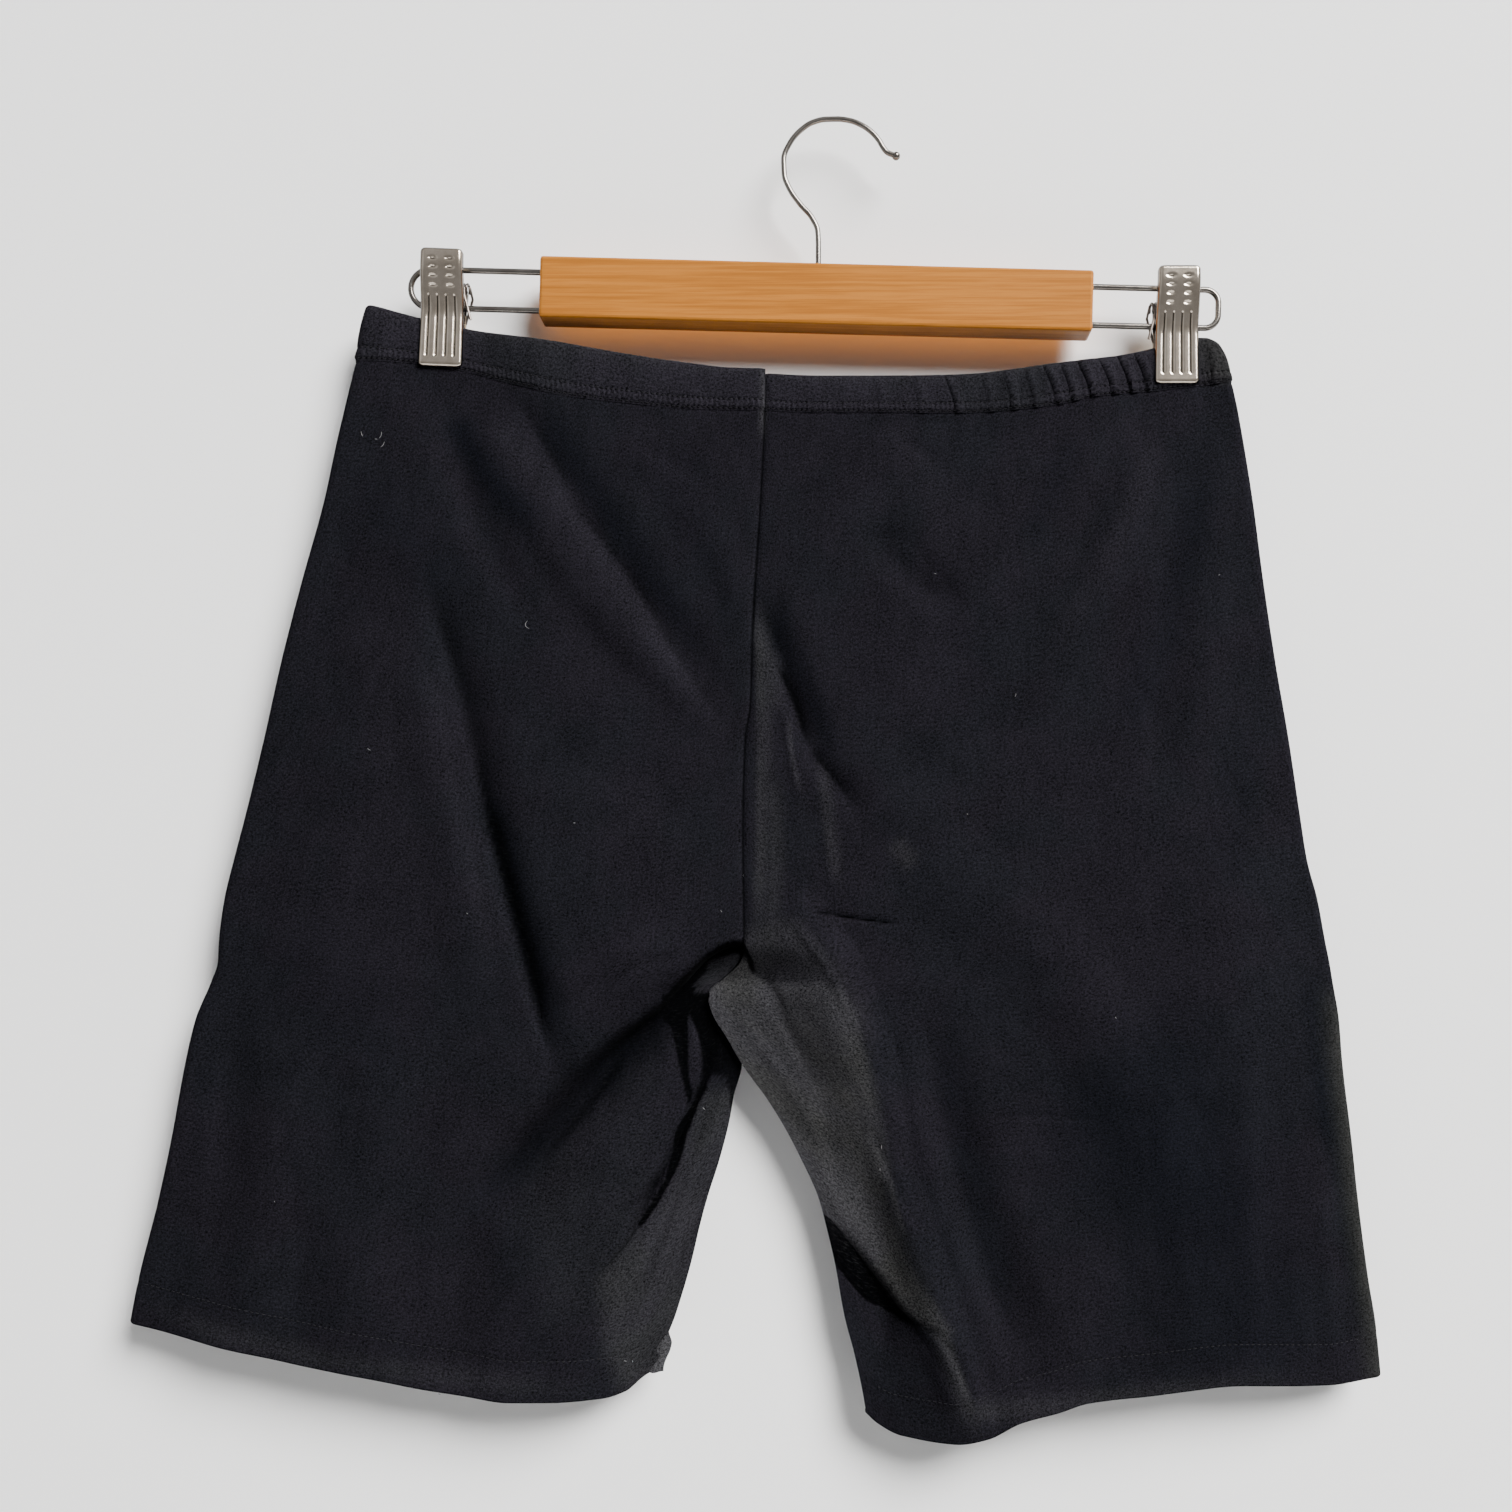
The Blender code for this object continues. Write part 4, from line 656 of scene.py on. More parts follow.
def closeUp(mesh, angle=50):
    work = bmesh.new()
    work.from_mesh(mesh)
    bmesh.ops.recalc_face_normals(work, faces=work.faces)
    work.to_mesh(mesh)
    work.free()
    mesh.shade_smooth()
    mesh.set_sharp_from_angle(angle=math.radians(angle))
    return mesh


def addPiece(name, mesh, material, replaced=()):
    piece = bpy.data.objects.new(name, mesh)
    mesh.materials.clear()
    mesh.materials.append(material)
    bpy.context.scene.collection.objects.link(piece)
    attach(piece, "root")
    if replaced:
        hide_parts(*replaced)
    return piece


def tubeInto(work, line, radii, sides):
    # adds a round tube along a line, with a radius at each point
    line = [Vector(p) for p in line]
    rings = []
    across = None
    for i, point in enumerate(line):
        way = (line[min(i + 1, len(line) - 1)] - line[max(i - 1, 0)]).normalized()
        if across is None:
            across = way.orthogonal().normalized()
        across = (across - way * across.dot(way)).normalized()
        second = way.cross(across)
        ring = []
        for k in range(sides):
            turn = math.tau * k / sides
            offset = across * math.cos(turn) + second * math.sin(turn)
            ring.append(work.verts.new((point + offset * radii[i]) * mm))
        rings.append(ring)
    for first, second in zip(rings, rings[1:]):
        for k in range(sides):
            n = (k + 1) % sides
            work.faces.new((first[k], first[n], second[n], second[k]))
    work.faces.new(rings[0])
    work.faces.new(rings[-1])


def tubesMesh(name, sides, *tubes):
    # one mesh of round tubes, each given as its line and its radii or one radius
    work = bmesh.new()
    for line, radii in tubes:
        tubeInto(work, line, radii if isinstance(radii, list) else [radii] * len(line), sides)
    mesh = bpy.data.meshes.new(name)
    work.to_mesh(mesh)
    work.free()
    return closeUp(mesh)


# Shader helpers and shared effects

def put(tree, value, socket):
    if isinstance(value, bpy.types.NodeSocket):
        tree.links.new(value, socket)
    else:
        socket.default_value = value


def addNode(tree, kind, **values):
    # a node with its settings, and its inputs as values or as links
    node = tree.nodes.new(kind)
    for key, value in values.items():
        if hasattr(node, key):
            setattr(node, key, value)
        else:
            put(tree, value, node.inputs[key])
    return node


def mathOf(tree, operation, *values):
    node = addNode(tree, "ShaderNodeMath", operation=operation)
    for socket, value in zip(node.inputs, values):
        put(tree, value, socket)
    return node.outputs[0]


def times(tree, a, b):
    return mathOf(tree, "MULTIPLY", a, b)


def plus(tree, a, b):
    return mathOf(tree, "ADD", a, b)


def timesPlus(tree, value, factor, added):
    return mathOf(tree, "MULTIPLY_ADD", value, factor, added)


def scaled(tree, vector, factor):
    node = addNode(tree, "ShaderNodeVectorMath", operation="SCALE", Scale=factor)
    tree.links.new(vector, node.inputs[0])
    return node.outputs[0]


def mixColour(tree, factor, a, b):
    node = addNode(tree, "ShaderNodeMix", data_type="RGBA")
    for i, value in ((0, factor), (6, a), (7, b)):
        put(tree, value, node.inputs[i])
    return node.outputs[2]


def rampOf(tree, value, low, high, fromValue=0.0, toValue=1.0):
    node = addNode(tree, "ShaderNodeMapRange", interpolation_type="SMOOTHSTEP")
    for i, number in enumerate((value, low, high, fromValue, toValue)):
        put(tree, number, node.inputs[i])
    return node.outputs[0]


def noiseOf(tree, place, scale, detail=2.0, roughness=0.5, **more):
    return addNode(tree, "ShaderNodeTexNoise", Vector=place, Scale=scale, Detail=detail,
                   Roughness=roughness, **more).outputs[0]


def mapped(tree, place, rotation, scale):
    return addNode(tree, "ShaderNodeMapping", Vector=place, Rotation=rotation,
                   Scale=scale).outputs[0]


def bumped(tree, height, strength, distance):
    return addNode(tree, "ShaderNodeBump", Height=height, Strength=strength,
                   Distance=distance).outputs[0]


def newGroup(name, inputs, outputs):
    # inputs as label and value, with no value for a vector
    group = bpy.data.node_groups.new(name, "ShaderNodeTree")
    for label, value in inputs:
        kind = "NodeSocketVector" if value is None else "NodeSocketFloat"
        socket = group.interface.new_socket(label, in_out="INPUT", socket_type=kind)
        if value is not None:
            socket.default_value = value
    for label in outputs:
        group.interface.new_socket(label, in_out="OUTPUT", socket_type="NodeSocketFloat")
    given, out = (group.nodes.new("NodeGroup" + end) for end in ("Input", "Output"))
    return group, given.outputs, out.inputs


def useGroup(tree, group, **values):
    return addNode(tree, "ShaderNodeGroup", node_tree=group, **values).outputs


def knitGroup():
    # face of single jersey: columns of little V shaped loops, in the cloth's own sizes
    group, given, out = newGroup(
        "jerseyKnit", (("Place", None), ("Wale", 0.75), ("Course", 0.6)), ("Height", "Gap"))
    split = addNode(group, "ShaderNodeSeparateXYZ", Vector=given["Place"])
    wales = mathOf(group, "DIVIDE", split.outputs[0], given["Wale"])
    courses = mathOf(group, "DIVIDE", split.outputs[1], given["Course"])
    zigzag = mathOf(group, "PINGPONG", wales, 0.5)
    slanted = plus(group, courses, times(group, zigzag, 1.3))
    loop = mathOf(group, "SINE", times(group, slanted, math.tau))
    rib = mathOf(group, "SINE", times(group, zigzag, math.tau))
    height = plus(group, times(group, loop, 0.3), times(group, rib, 0.7))
    put(group, timesPlus(group, height, 0.5, 0.5), out["Height"])
    put(group, rampOf(group, rib, 0.35, 0.0), out["Gap"])
    return group


def napGroup():
    # fuzz, pills and faded flecks of washed cotton, denser on the rubbed places and the painted
    # highlights
    group, given, out = newGroup("cottonNap", (("Place", None), ("Worn", 0.0)),
                                 ("Fleck", "Mottle", "Height", "Hue"))
    place = given["Place"]
    fine = noiseOf(group, place, 0.85, 4.0, 0.75)
    finer = noiseOf(group, place, 1.5, 2.0, 0.7)
    slow = noiseOf(group, place, 0.035, 4.0, 0.55)
    hue = noiseOf(group, place, 0.014, 3.0, 0.6)
    crumple = noiseOf(group, mapped(group, place, (0, 0, -0.8), (0.22, 0.07, 1.0)),
                      1.0, 4.0, 0.6, Distortion=0.6)
    streak = noiseOf(group, mapped(group, place, (0, 0, 0.35), (0.28, 1.5, 1.0)), 1.0, 3.0, 0.6)
    pills = addNode(group, "ShaderNodeTexVoronoi", Vector=place, Scale=0.5, Randomness=1.0)
    flecks = times(group, rampOf(group, streak, 0.52, 0.72),
                   timesPlus(group, given["Worn"], 1.0, 0.10))
    pill = times(group, rampOf(group, pills.outputs["Distance"], 0.22, 0.08),
                 timesPlus(group, given["Worn"], 0.8, 0.08))
    broad = plus(group, times(group, rampOf(group, slow, 0.3, 0.7), 0.13),
                 times(group, rampOf(group, crumple, 0.32, 0.68), 0.13))
    grain = plus(group, times(group, rampOf(group, fine, 0.35, 0.65), 0.48),
                 times(group, rampOf(group, finer, 0.33, 0.67), 0.36))
    put(group, plus(group, flecks, times(group, pill, 0.5)), out["Fleck"])
    put(group, plus(group, grain, times(group, broad, 0.65)), out["Mottle"])
    put(group, rampOf(group, hue, 0.42, 0.60), out["Hue"])
    put(group, plus(group, times(group, fine, 0.7), times(group, pill, 0.8)), out["Height"])
    return group


def scuffGroup():
    # fine rubbed marks and a slow tarnish for plated metal and lacquer
    group, given, out = newGroup("scuffs", (("Place", None), ("Amount", 0.5)),
                                 ("Mark", "Tarnish"))
    rub = noiseOf(group, given["Place"], 0.9, 6.0, 0.7)
    slow = noiseOf(group, given["Place"], 0.12, 3.0, 0.5)
    put(group, times(group, rampOf(group, rub, 0.45, 0.75), given["Amount"]), out["Mark"])
    put(group, rampOf(group, slow, 0.35, 0.7), out["Tarnish"])
    return group


knit = knitGroup()
nap = napGroup()
scuff = scuffGroup()


def newMaterial(name):
    material = bpy.data.materials.new(name)
    material.use_nodes = True
    return material, material.node_tree


def placeInMm(tree, fromUv=False):
    # cloth lies on its own flat map, hard pieces use their place in the object
    if fromUv:
        return scaled(tree, addNode(tree, "ShaderNodeUVMap", uv_map="cloth").outputs[0], 1.0)
    return scaled(tree, addNode(tree, "ShaderNodeTexCoord").outputs["Object"], 1 / mm)


def setSurface(tree, values):
    for label, value in values.items():
        put(tree, value, tree.nodes["Principled BSDF"].inputs[label])


jerseyLook = {
    "base": (0.0071, 0.0064, 0.0087, 1),      # washed black, a little violet
    "cool": (0.0063, 0.0063, 0.0083, 1),      # patches that lean to blue and green
    "pale": (0.0100, 0.0092, 0.0120, 1),      # bulges that take the light
    "paintedHollowShade": (0.0036, 0.0039, 0.0057, 1),      # painted shade in the hollows, bluer
    "fadedAndLit": (0.0335, 0.0330, 0.0358, 1),     # rubbed inner thighs and painted light on the lit inner-leg strips
    "fadedAndLitWarm": (0.0335, 0.0333, 0.0325, 1),
    "edge": (0.0185, 0.0190, 0.0174, 1),      # painted light and sheen along the side folds, with some fading
    "deep": (0.0003, 0.0003, 0.0005, 1),      # painted shade at the bottoms of the creases and in the hollows
    "fleck": (0.055, 0.055, 0.057, 1),
    "creaseFrom": 0.05, "creaseDark": 0.95, "fleckShare": 0.55,
    "wornGrain": (0.4, 0.85), "grain": (2.3, -0.15), "gaps": (-0.22, 1.06),
    "knitHeight": 0.5, "bump": (0.55, 0.00022),
    "roughness": 0.9, "roughGrain": 0.08, "specular": 0.01,
    "sheen": 0.006, "sheenRoughness": 0.4, "sheenTint": (0.86, 0.86, 0.92, 1),
}
bandLook = dict(jerseyLook, base=(0.0104, 0.0094, 0.0124, 1), cool=(0.0094, 0.0093, 0.0114, 1),
                pale=(0.0122, 0.0112, 0.0142, 1))


def jerseyMaterial(name, look):
    material, tree = newMaterial(name)
    place = placeInMm(tree, True)
    worn, paintedShade, edge, paintedShadingAndDye = (
        addNode(tree, "ShaderNodeAttribute", attribute_name=mask).outputs["Fac"]
        for mask in ("worn", "paintedShade", "edge", "paintedShadingAndDye"))
    weave = useGroup(tree, knit, Place=place)
    fuzz = useGroup(tree, nap, Place=place, Worn=worn)
    # rubbed places and painted highlights, mixed towards a grainy light grey
    rubbedAndLit = times(tree, worn, timesPlus(tree, fuzz["Mottle"], *look["wornGrain"]))
    fadedAndLit = mixColour(tree, fuzz["Hue"], look["fadedAndLit"], look["fadedAndLitWarm"])
    # painted shade in the creases, hollows, seams and needle holes
    inCrease = times(tree, rampOf(tree, paintedShade, look["creaseFrom"], 1.0), look["creaseDark"])
    colour = mixColour(tree, fuzz["Hue"], look["base"], look["cool"])
    # painted light on bulges, painted shade in hollows, painted light on the side folds, rubbed
    # and highlighted grey, painted shade in creases
    for share, over in ((paintedShadingAndDye, look["pale"]), (times(tree, paintedShadingAndDye, -1.0), look["paintedHollowShade"]),
                        (edge, look["edge"]), (rubbedAndLit, fadedAndLit), (inCrease, look["deep"])):
        colour = mixColour(tree, share, colour, over)
    colour = scaled(tree, colour, timesPlus(tree, fuzz["Mottle"], *look["grain"]))
    colour = scaled(tree, colour, timesPlus(tree, weave["Gap"], *look["gaps"]))
    height = plus(tree, times(tree, weave["Height"], look["knitHeight"]), fuzz["Height"])
    setSurface(tree, {
        "Base Color": mixColour(tree, times(tree, fuzz["Fleck"], look["fleckShare"]), colour,
                                look["fleck"]),
        "Normal": bumped(tree, height, *look["bump"]),
        "Roughness": timesPlus(tree, fuzz["Mottle"], look["roughGrain"],
                               look["roughness"] - look["roughGrain"] / 2),
        "Specular IOR Level": look["specular"], "Sheen Weight": look["sheen"],
        "Sheen Roughness": look["sheenRoughness"], "Sheen Tint": look["sheenTint"]})
    return material


jersey = jerseyMaterial("jersey", jerseyLook)
bandJersey = jerseyMaterial("bandJersey", bandLook)
print("cloth materials made")


# Legs

legGrid = {
    "frontColumns": 60, "backColumns": 45, "nearSeam": (62.0, 50),
    "rows": ((0.0075, 0.49, 70), (0.49, 0.76, 100), (0.76, 0.92, 42), (0.92, 1.0, 13)),
    "innerMarks": (0, 0.35, 0.7, 1.1, 1.7, 2.6, 4.0, 6.0, 8.5),
    "sideMarks": (0, 0.12, 0.4, 0.8, 1.3, 1.9, 2.6, 3.4, 4.6, 6.4),
    "topRows": (0, 0.0012, 0.0028, 0.005), "topDip": (0.25, 2.2),
    "hemTurn": 18.6, "hemGap": 0.15, "hemSteps": 7, "upRows": (1.6, 9), "hemGroove": 0.25,
    "panelWidth": 215.0, "cut": (0.560, 0.520, 0.235),
}
# Rubbed and faded places of each layer, some of them painted highlights on fold edges such as
# the one beside the centre front seam: start, bend, end, half width left and right, strength.
wearAndHighlightPlaces = {
    "front": (
        (44, 545, 54, 563, 70, 612, 10, 3, 0.34),
        (25, 458, 29, 492, 38, 524, 4, 2, 0.3),
        (-38, 452, -20, 476, -4, 508, 10, 10, 0.2),
        (-34, 226, -32, 300, -34, 384, 3, 9, 0.22),
        (-30, 250, -28, 262, -26, 280, 5, 8, 0.16),
        (-28, 306, -26, 340, -28, 384, 4, 9, 0.14),
        (-31, 116, -30.6, 130, -31, 152, 3, 3, 0.4),
        (-4, 300, 0, 330, 4, 360, 5, 6, 0.16),
        (30, 338, 34, 344, 40, 350, 8, 8, 0.16),
        (-19, 280, -17, 300, -13, 316, 2, 2, 0.16),
        (60, 600, 100, 600, 220, 586, 8, 10, 0.16),
        (-320, 556, -220, 580, -110, 592, 8, 10, 0.1),
    ),
    "back": (
        (-44, 414, -8, 462, 18, 520, 24, 26, 0.24),
        (-56, 440, -70, 500, -92, 570, 20, 20, 0.22),
        (-120, 300, -90, 350, -70, 400, 34, 34, 0.08),
        (40, 300, 10, 350, -14, 400, 34, 34, 0.08),
        (-320, 556, -220, 580, -110, 592, 8, 10, 0.1),
        (60, 600, 100, 600, 220, 586, 8, 10, 0.12),
    ),
}
# Rubbed areas of the front, by panel, with painted light on the lit inner-leg strips: strength,
# softness, then the outline as x, drop.
wearAndHighlightZones = {
    "left": (
        (0.13, 1.6, (
            (-59, 394), (-54.8, 392), (-49, 391), (-43, 390), (-30, 391), (-42, 402),
            (-48, 410), (-57.4, 411), (-62, 410), (-65, 408), (-61.6, 402.5), (-58.2, 399.5))),
        (0.24, 7.0, (
            (-59, 456), (-62, 466), (-66, 478), (-70, 490), (-76, 500), (-86, 515.5),
            (-108, 541), (-104, 575), (-92, 610), (-60, 610), (-60, 520), (-40, 470),
            (-44, 456))),
        (0.06, 14.0, (
            (-80, 440), (-110, 460), (-140, 500), (-130, 560), (-100, 560), (-80, 520))),
    ),
    "right": (
        (0.24, 7.0, (
            (-60, 392), (-38, 382), (-28, 374), (-14, 376), (-2, 388), (8, 402), (16, 416),
            (18, 436), (-20, 430), (-34, 420))),
        (0.56, 4.0, (
            (-60, 394), (-38, 392), (-35, 400), (-28, 404), (-14, 403), (-2, 402), (7, 405),
            (14, 416), (18, 436), (23, 455), (25.5, 470), (28, 489), (27, 500), (32, 520),
            (39, 535), (45, 545), (51, 556), (56, 564), (45, 562), (33, 553.5), (27, 546.5),
            (16.8, 534), (7.8, 523.2), (1, 515.8), (-6, 508), (-30, 490), (-60, 440))),
        (0.58, 12.0, (
            (-66, 400), (-44, 402), (-28, 424), (-8, 440), (12, 452), (21, 474), (22, 494),
            (28, 516), (38, 540), (44, 556), (34, 556), (16.8, 537), (-4, 516), (-30, 490),
            (-66, 440))),
        (0.9, 9.0, (
            (-14, 446), (16, 450), (24, 500), (36, 535), (44, 552), (34, 552), (10, 522),
            (-6, 502))),
    ),
}
# Broad bands of painted light on the slow bulges and painted shade along the folds and hollows,
# with some uneven dye,
# of each layer: start, bend, end, half width left and right, strength (plus is lighter and
# violet, minus darker and bluer).
paintedShadingAndDyePlaces = {
    "front": (
        (-175, 138, -162, 164, -134, 196, 12, 14, -0.85),
        (-134, 140, -108, 180, -60, 252, 12, 16, -0.65),
        (-158, 140, -114, 194, -60, 276, 10, 12, 0.55),
        (-222, 178, -194, 196, -176, 226, 26, 28, -0.35),
        (-214, 230, -206, 262, -196, 300, 22, 20, 0.25),
        (-186, 256, -172, 320, -150, 400, 12, 10, 0.3),
        (-160, 312, -146, 366, -128, 432, 4, 14, -0.6),
        (-74, 412, -114, 456, -170, 512, 10, 16, -0.6),
        (-86, 450, -104, 490, -120, 540, 24, 22, -0.3),
        (-250, 380, -226, 410, -190, 440, 34, 34, -0.22),
        (-120, 300, -86, 330, -60, 372, 26, 26, 0.2),
        (152, 150, 134, 196, 102, 252, 9, 11, 0.55),
        (176, 160, 160, 230, 140, 290, 20, 16, -0.5),
        (112, 150, 104, 176, 88, 200, 12, 12, -0.35),
        (196, 280, 190, 320, 182, 360, 22, 18, -0.22),
        (24, 150, 42, 164, 58, 190, 16, 18, 0.25),
        (-30, 232, -14, 262, 2, 300, 6, 12, -0.55),
        (-78, 150, -60, 190, -46, 250, 26, 20, -0.22),
        (130, 420, 176, 500, 196, 600, 84, 60, -0.62),
        (226, 400, 232, 440, 236, 480, 14, 8, -0.6),
        (-104, 470, -90, 500, -84, 540, 26, 20, -0.18),
        (-56, 456, -58, 480, -66, 506, 10, 12, -0.4),
        (100, 470, 150, 492, 196, 520, 50, 50, -0.22),
        (229, 440, 240, 500, 249, 566, 9, 7, -0.8),
        (52, 430, 64, 490, 84, 560, 8, 16, -0.35),
        (-300, 560, -220, 588, -110, 598, 10, 10, 0.25),
        (60, 606, 150, 600, 256, 590, 10, 10, 0.3),
    ),
    "back": (
        (-150, 150, -120, 190, -76, 240, 12, 14, -0.6),
        (130, 152, 100, 196, 60, 246, 12, 14, -0.6),
        (-90, 420, -130, 460, -190, 500, 14, 18, -0.6),
        (-10, 424, 40, 452, 110, 490, 14, 18, -0.6),
        (-90, 260, -70, 320, -64, 380, 30, 30, 0.3),
        (40, 260, 20, 320, 0, 380, 30, 30, 0.3),
    ),
}


# share of a band's length over which it fades, and what is left of it at its ends
bandFade = {"paintedShadingAndDye": (0.25, 0.3), "worn": (0.22, 0.15)}


def brushed(row, x, drop, fade, kept):
    # one soft band, fading towards its two ends
    near, aside, along, _, _ = nearCurve(row, x, drop)
    return near, (row[8] * foldShape(aside, 0.0) * ease(along / fade + kept)
                  * ease((1 - along) / fade + kept))


# painted light on the bulges and painted shade along the folds and hollows, with some uneven
# dye
def paintedShadingAndDyeAt(layer, x, drop):
    paintedShadingAndDye = np.zeros_like(x)
    for row in paintedShadingAndDyePlaces[layer]:
        near, value = brushed(row, x, drop, *bandFade["paintedShadingAndDye"])
        paintedShadingAndDye[near] += value
    return paintedShadingAndDye


# rubbed places, with painted light on the lit inner-leg strips and fold edges
def wearAndHighlightAt(half, layer, x, drop):
    worn = np.zeros_like(x)
    if layer == "front":
        for strength, soft, outline in wearAndHighlightZones[half.name]:
            worn = np.maximum(worn, strength * ease(
                (insideOf(outline, x, drop) + soft) / (2 * soft)))
    for row in wearAndHighlightPlaces[layer]:
        near, value = brushed(row, x, drop, *bandFade["worn"])
        worn[near] = np.maximum(worn[near], value)
    return worn


layers = ("front", "back")
maskNames = ("paintedShade", "worn", "edge", "paintedShadingAndDye")
# painted light and sheen, with some fading, along the right panel's side: strength, drop and
# fade, low on it and high on it, and reach
sideSheenPlan = {"low": (0.75, 400, 24), "high": (0.6, 128, 10), "reach": 7.0, "topReach": (140, 20)}


def shareColumns(count, width, innerMarks, sideMarks, nearSeam=None):
    inner = np.array(innerMarks) / width
    if nearSeam:
        inner = np.concatenate([inner, np.linspace(inner[-1], nearSeam[0] / width,
                                                   nearSeam[1] + 1)[1:]])
    side = 1 - np.array(sideMarks)[::-1] / width
    middle = np.linspace(inner[-1], side[0], count + 2)[1:-1]
    return np.concatenate([inner, middle, side])


def clothGrid(half, frontShares, backShares, dropOf, downBand=None):
    # rows round a half: centre front, out to the side, back to centre back
    grids = []
    for layer, shares in zip(layers, (frontShares, backShares)):
        share = shares[None, :]
        drop = dropOf(share)
        share = np.broadcast_to(share, drop.shape)
        points, paintedShade = clothPoints(half, layer, share, drop, downBand)
        x = half.xAt(share, drop, layer)
        strip = np.zeros_like(x)
        # painted light and sheen along the right panel's side fold
        if half.name == "right":
            low, start, over = sideSheenPlan["low"]
            high, end, fade = sideSheenPlan["high"]
            strip = low * ease((drop - start) / over) + high * ease((end - drop) / fade)
        topFrom, topOver = sideSheenPlan["topReach"]
        reach = sideSheenPlan["reach"] * (1 + ease((topFrom - drop) / topOver))
        edge = strip * np.exp(-(np.abs(half.outer(drop) - x) / reach) ** 2)
        grids.append((points, paintedShade, wearAndHighlightAt(half, layer, x, drop), edge,
                      paintedShadingAndDyeAt(layer, x, drop)))
    return [np.concatenate([a, b[:, ::-1][:, 1:]], 1) for a, b in zip(*grids)]


def clothMap(grid):
    # flat map of a grid of cloth in millimetres, from the lengths along its threads
    across = np.linalg.norm(np.diff(grid, axis=1), axis=2).mean(0)
    down = np.linalg.norm(np.diff(grid, axis=0), axis=2).mean(1)
    u = np.concatenate([[0], np.cumsum(across)])
    v = np.concatenate([[0], np.cumsum(down)])
    return np.stack(np.broadcast_arrays(u[None, :], v[:, None]), -1)


def legPiece(half):
    plan = legGrid
    marks = (plan["panelWidth"], plan["innerMarks"], plan["sideMarks"])
    front = shareColumns(plan["frontColumns"], *marks, plan["nearSeam"])
    back = shareColumns(plan["backColumns"], *marks)
    rows = list(plan["topRows"])
    for start, end, count in plan["rows"]:
        rows += list(np.linspace(start, end, count, endpoint=end == 1.0))
    rows = np.array(rows)
    outerRows, *masks = clothGrid(half, front, back,
                                  lambda share: half.rowDrop(share, rows[:, None]))
    # top edge dips under the band's stitching
    deep, fade = plan["topDip"]
    topDip = deep * np.exp(-(np.arange(len(rows)) / fade) ** 2)
    normal = gridNormals(outerRows, half.outward)
    outerRows = outerRows - normal * topDip[:, None, None]
    # the hem turns inwards round a small radius and runs back up
    radius = (shorts["wall"] + plan["hemGap"]) / 2
    edge, edgeNormal = outerRows[-1], normal[-1]
    extra = []
    for turn in np.linspace(0, math.pi, plan["hemSteps"])[1:]:
        extra.append(edge - edgeNormal * radius * (1 - math.cos(turn))
                     + np.array([0, 0, -radius * math.sin(turn)]))
    firstUp, upCount = plan["upRows"]
    upRows = np.linspace(firstUp, plan["hemTurn"], upCount)
    upGrid = clothGrid(half, front, back,
                       lambda share: half.hemEdge(share) - upRows[:, None])[0]
    upNormal = gridNormals(upGrid[::-1], half.outward)[::-1]
    extra += list(upGrid - upNormal * 2 * radius)
    grid = np.concatenate([outerRows, np.stack(extra)])
    tail = len(extra)
    masks = [np.concatenate([m, np.repeat(m[-1:], tail, 0)]) for m in masks]
    hemLine = np.zeros(grid.shape[:2])
    stitched = np.argmin(np.abs(outerRows[:, :, 2] + half.hemEdge(
        np.concatenate([front, back[::-1][1:]]))[None, :] - plan["hemTurn"]), axis=0)
    hemLine[stitched, np.arange(len(stitched))] = 0.5
    # painted shade along the hem's stitched groove
    masks[0] = masks[0] + 0.5 * hemLine
    thick = np.full(grid.shape[:2], shorts["wall"] / 2)
    label = "leg" + half.name.title()
    mesh = wallMesh(label, grid, half.outward, thick - plan["hemGroove"] * hemLine, thick,
                    dict(zip(maskNames, masks)), clothMap(grid))
    return addPiece(label, mesh, jersey, ("leg_" + half.name,))


halves = {name: Half(name) for name in ("left", "right")}
for name, half in halves.items():
    legPiece(half)
print("legs made")


# Waistband

bandGrid = {
    "pitch": 0.62, "height": 21.0, "wall": 2.3, "seamWall": 1.24, "seamFade": 1.5,
    "width": {"left": 190.0, "right": 215.0}, "corner": {"left": 1.6, "right": 4.6},
    "puff": 0.45, "rowAbove": 5.2, "rowBelow": 0.9, "rowHalf": 0.55, "rowFade": 0.8,
    "groove": 0.5, "ribPitch": 2.4, "rib": 0.45, "endCalm": 1.5,
    "topTurn": (0.12, 6), "bodyRows": (1.5, 7.2, 9),
    # heights above the seam of the rows that carry the stitching
    "seamRows": (6.6, 6.0, 5.6, 5.2, 4.8, 4.3, 3.4, 2.6, 1.8, 1.3, 0.9, 0.5, 0.0),
    "innerMarks": (0, 0.3, 0.7, 1.2, 2.0), "sideMarks": (0, 0.15, 0.5, 1.0, 1.7, 2.6, 3.6),
    "topWorn": (0.20, 2.2), "holeDark": 1.3,
    "cut": {"left": (0.385, 0.028), "right": (0.435, 0.026)},
}


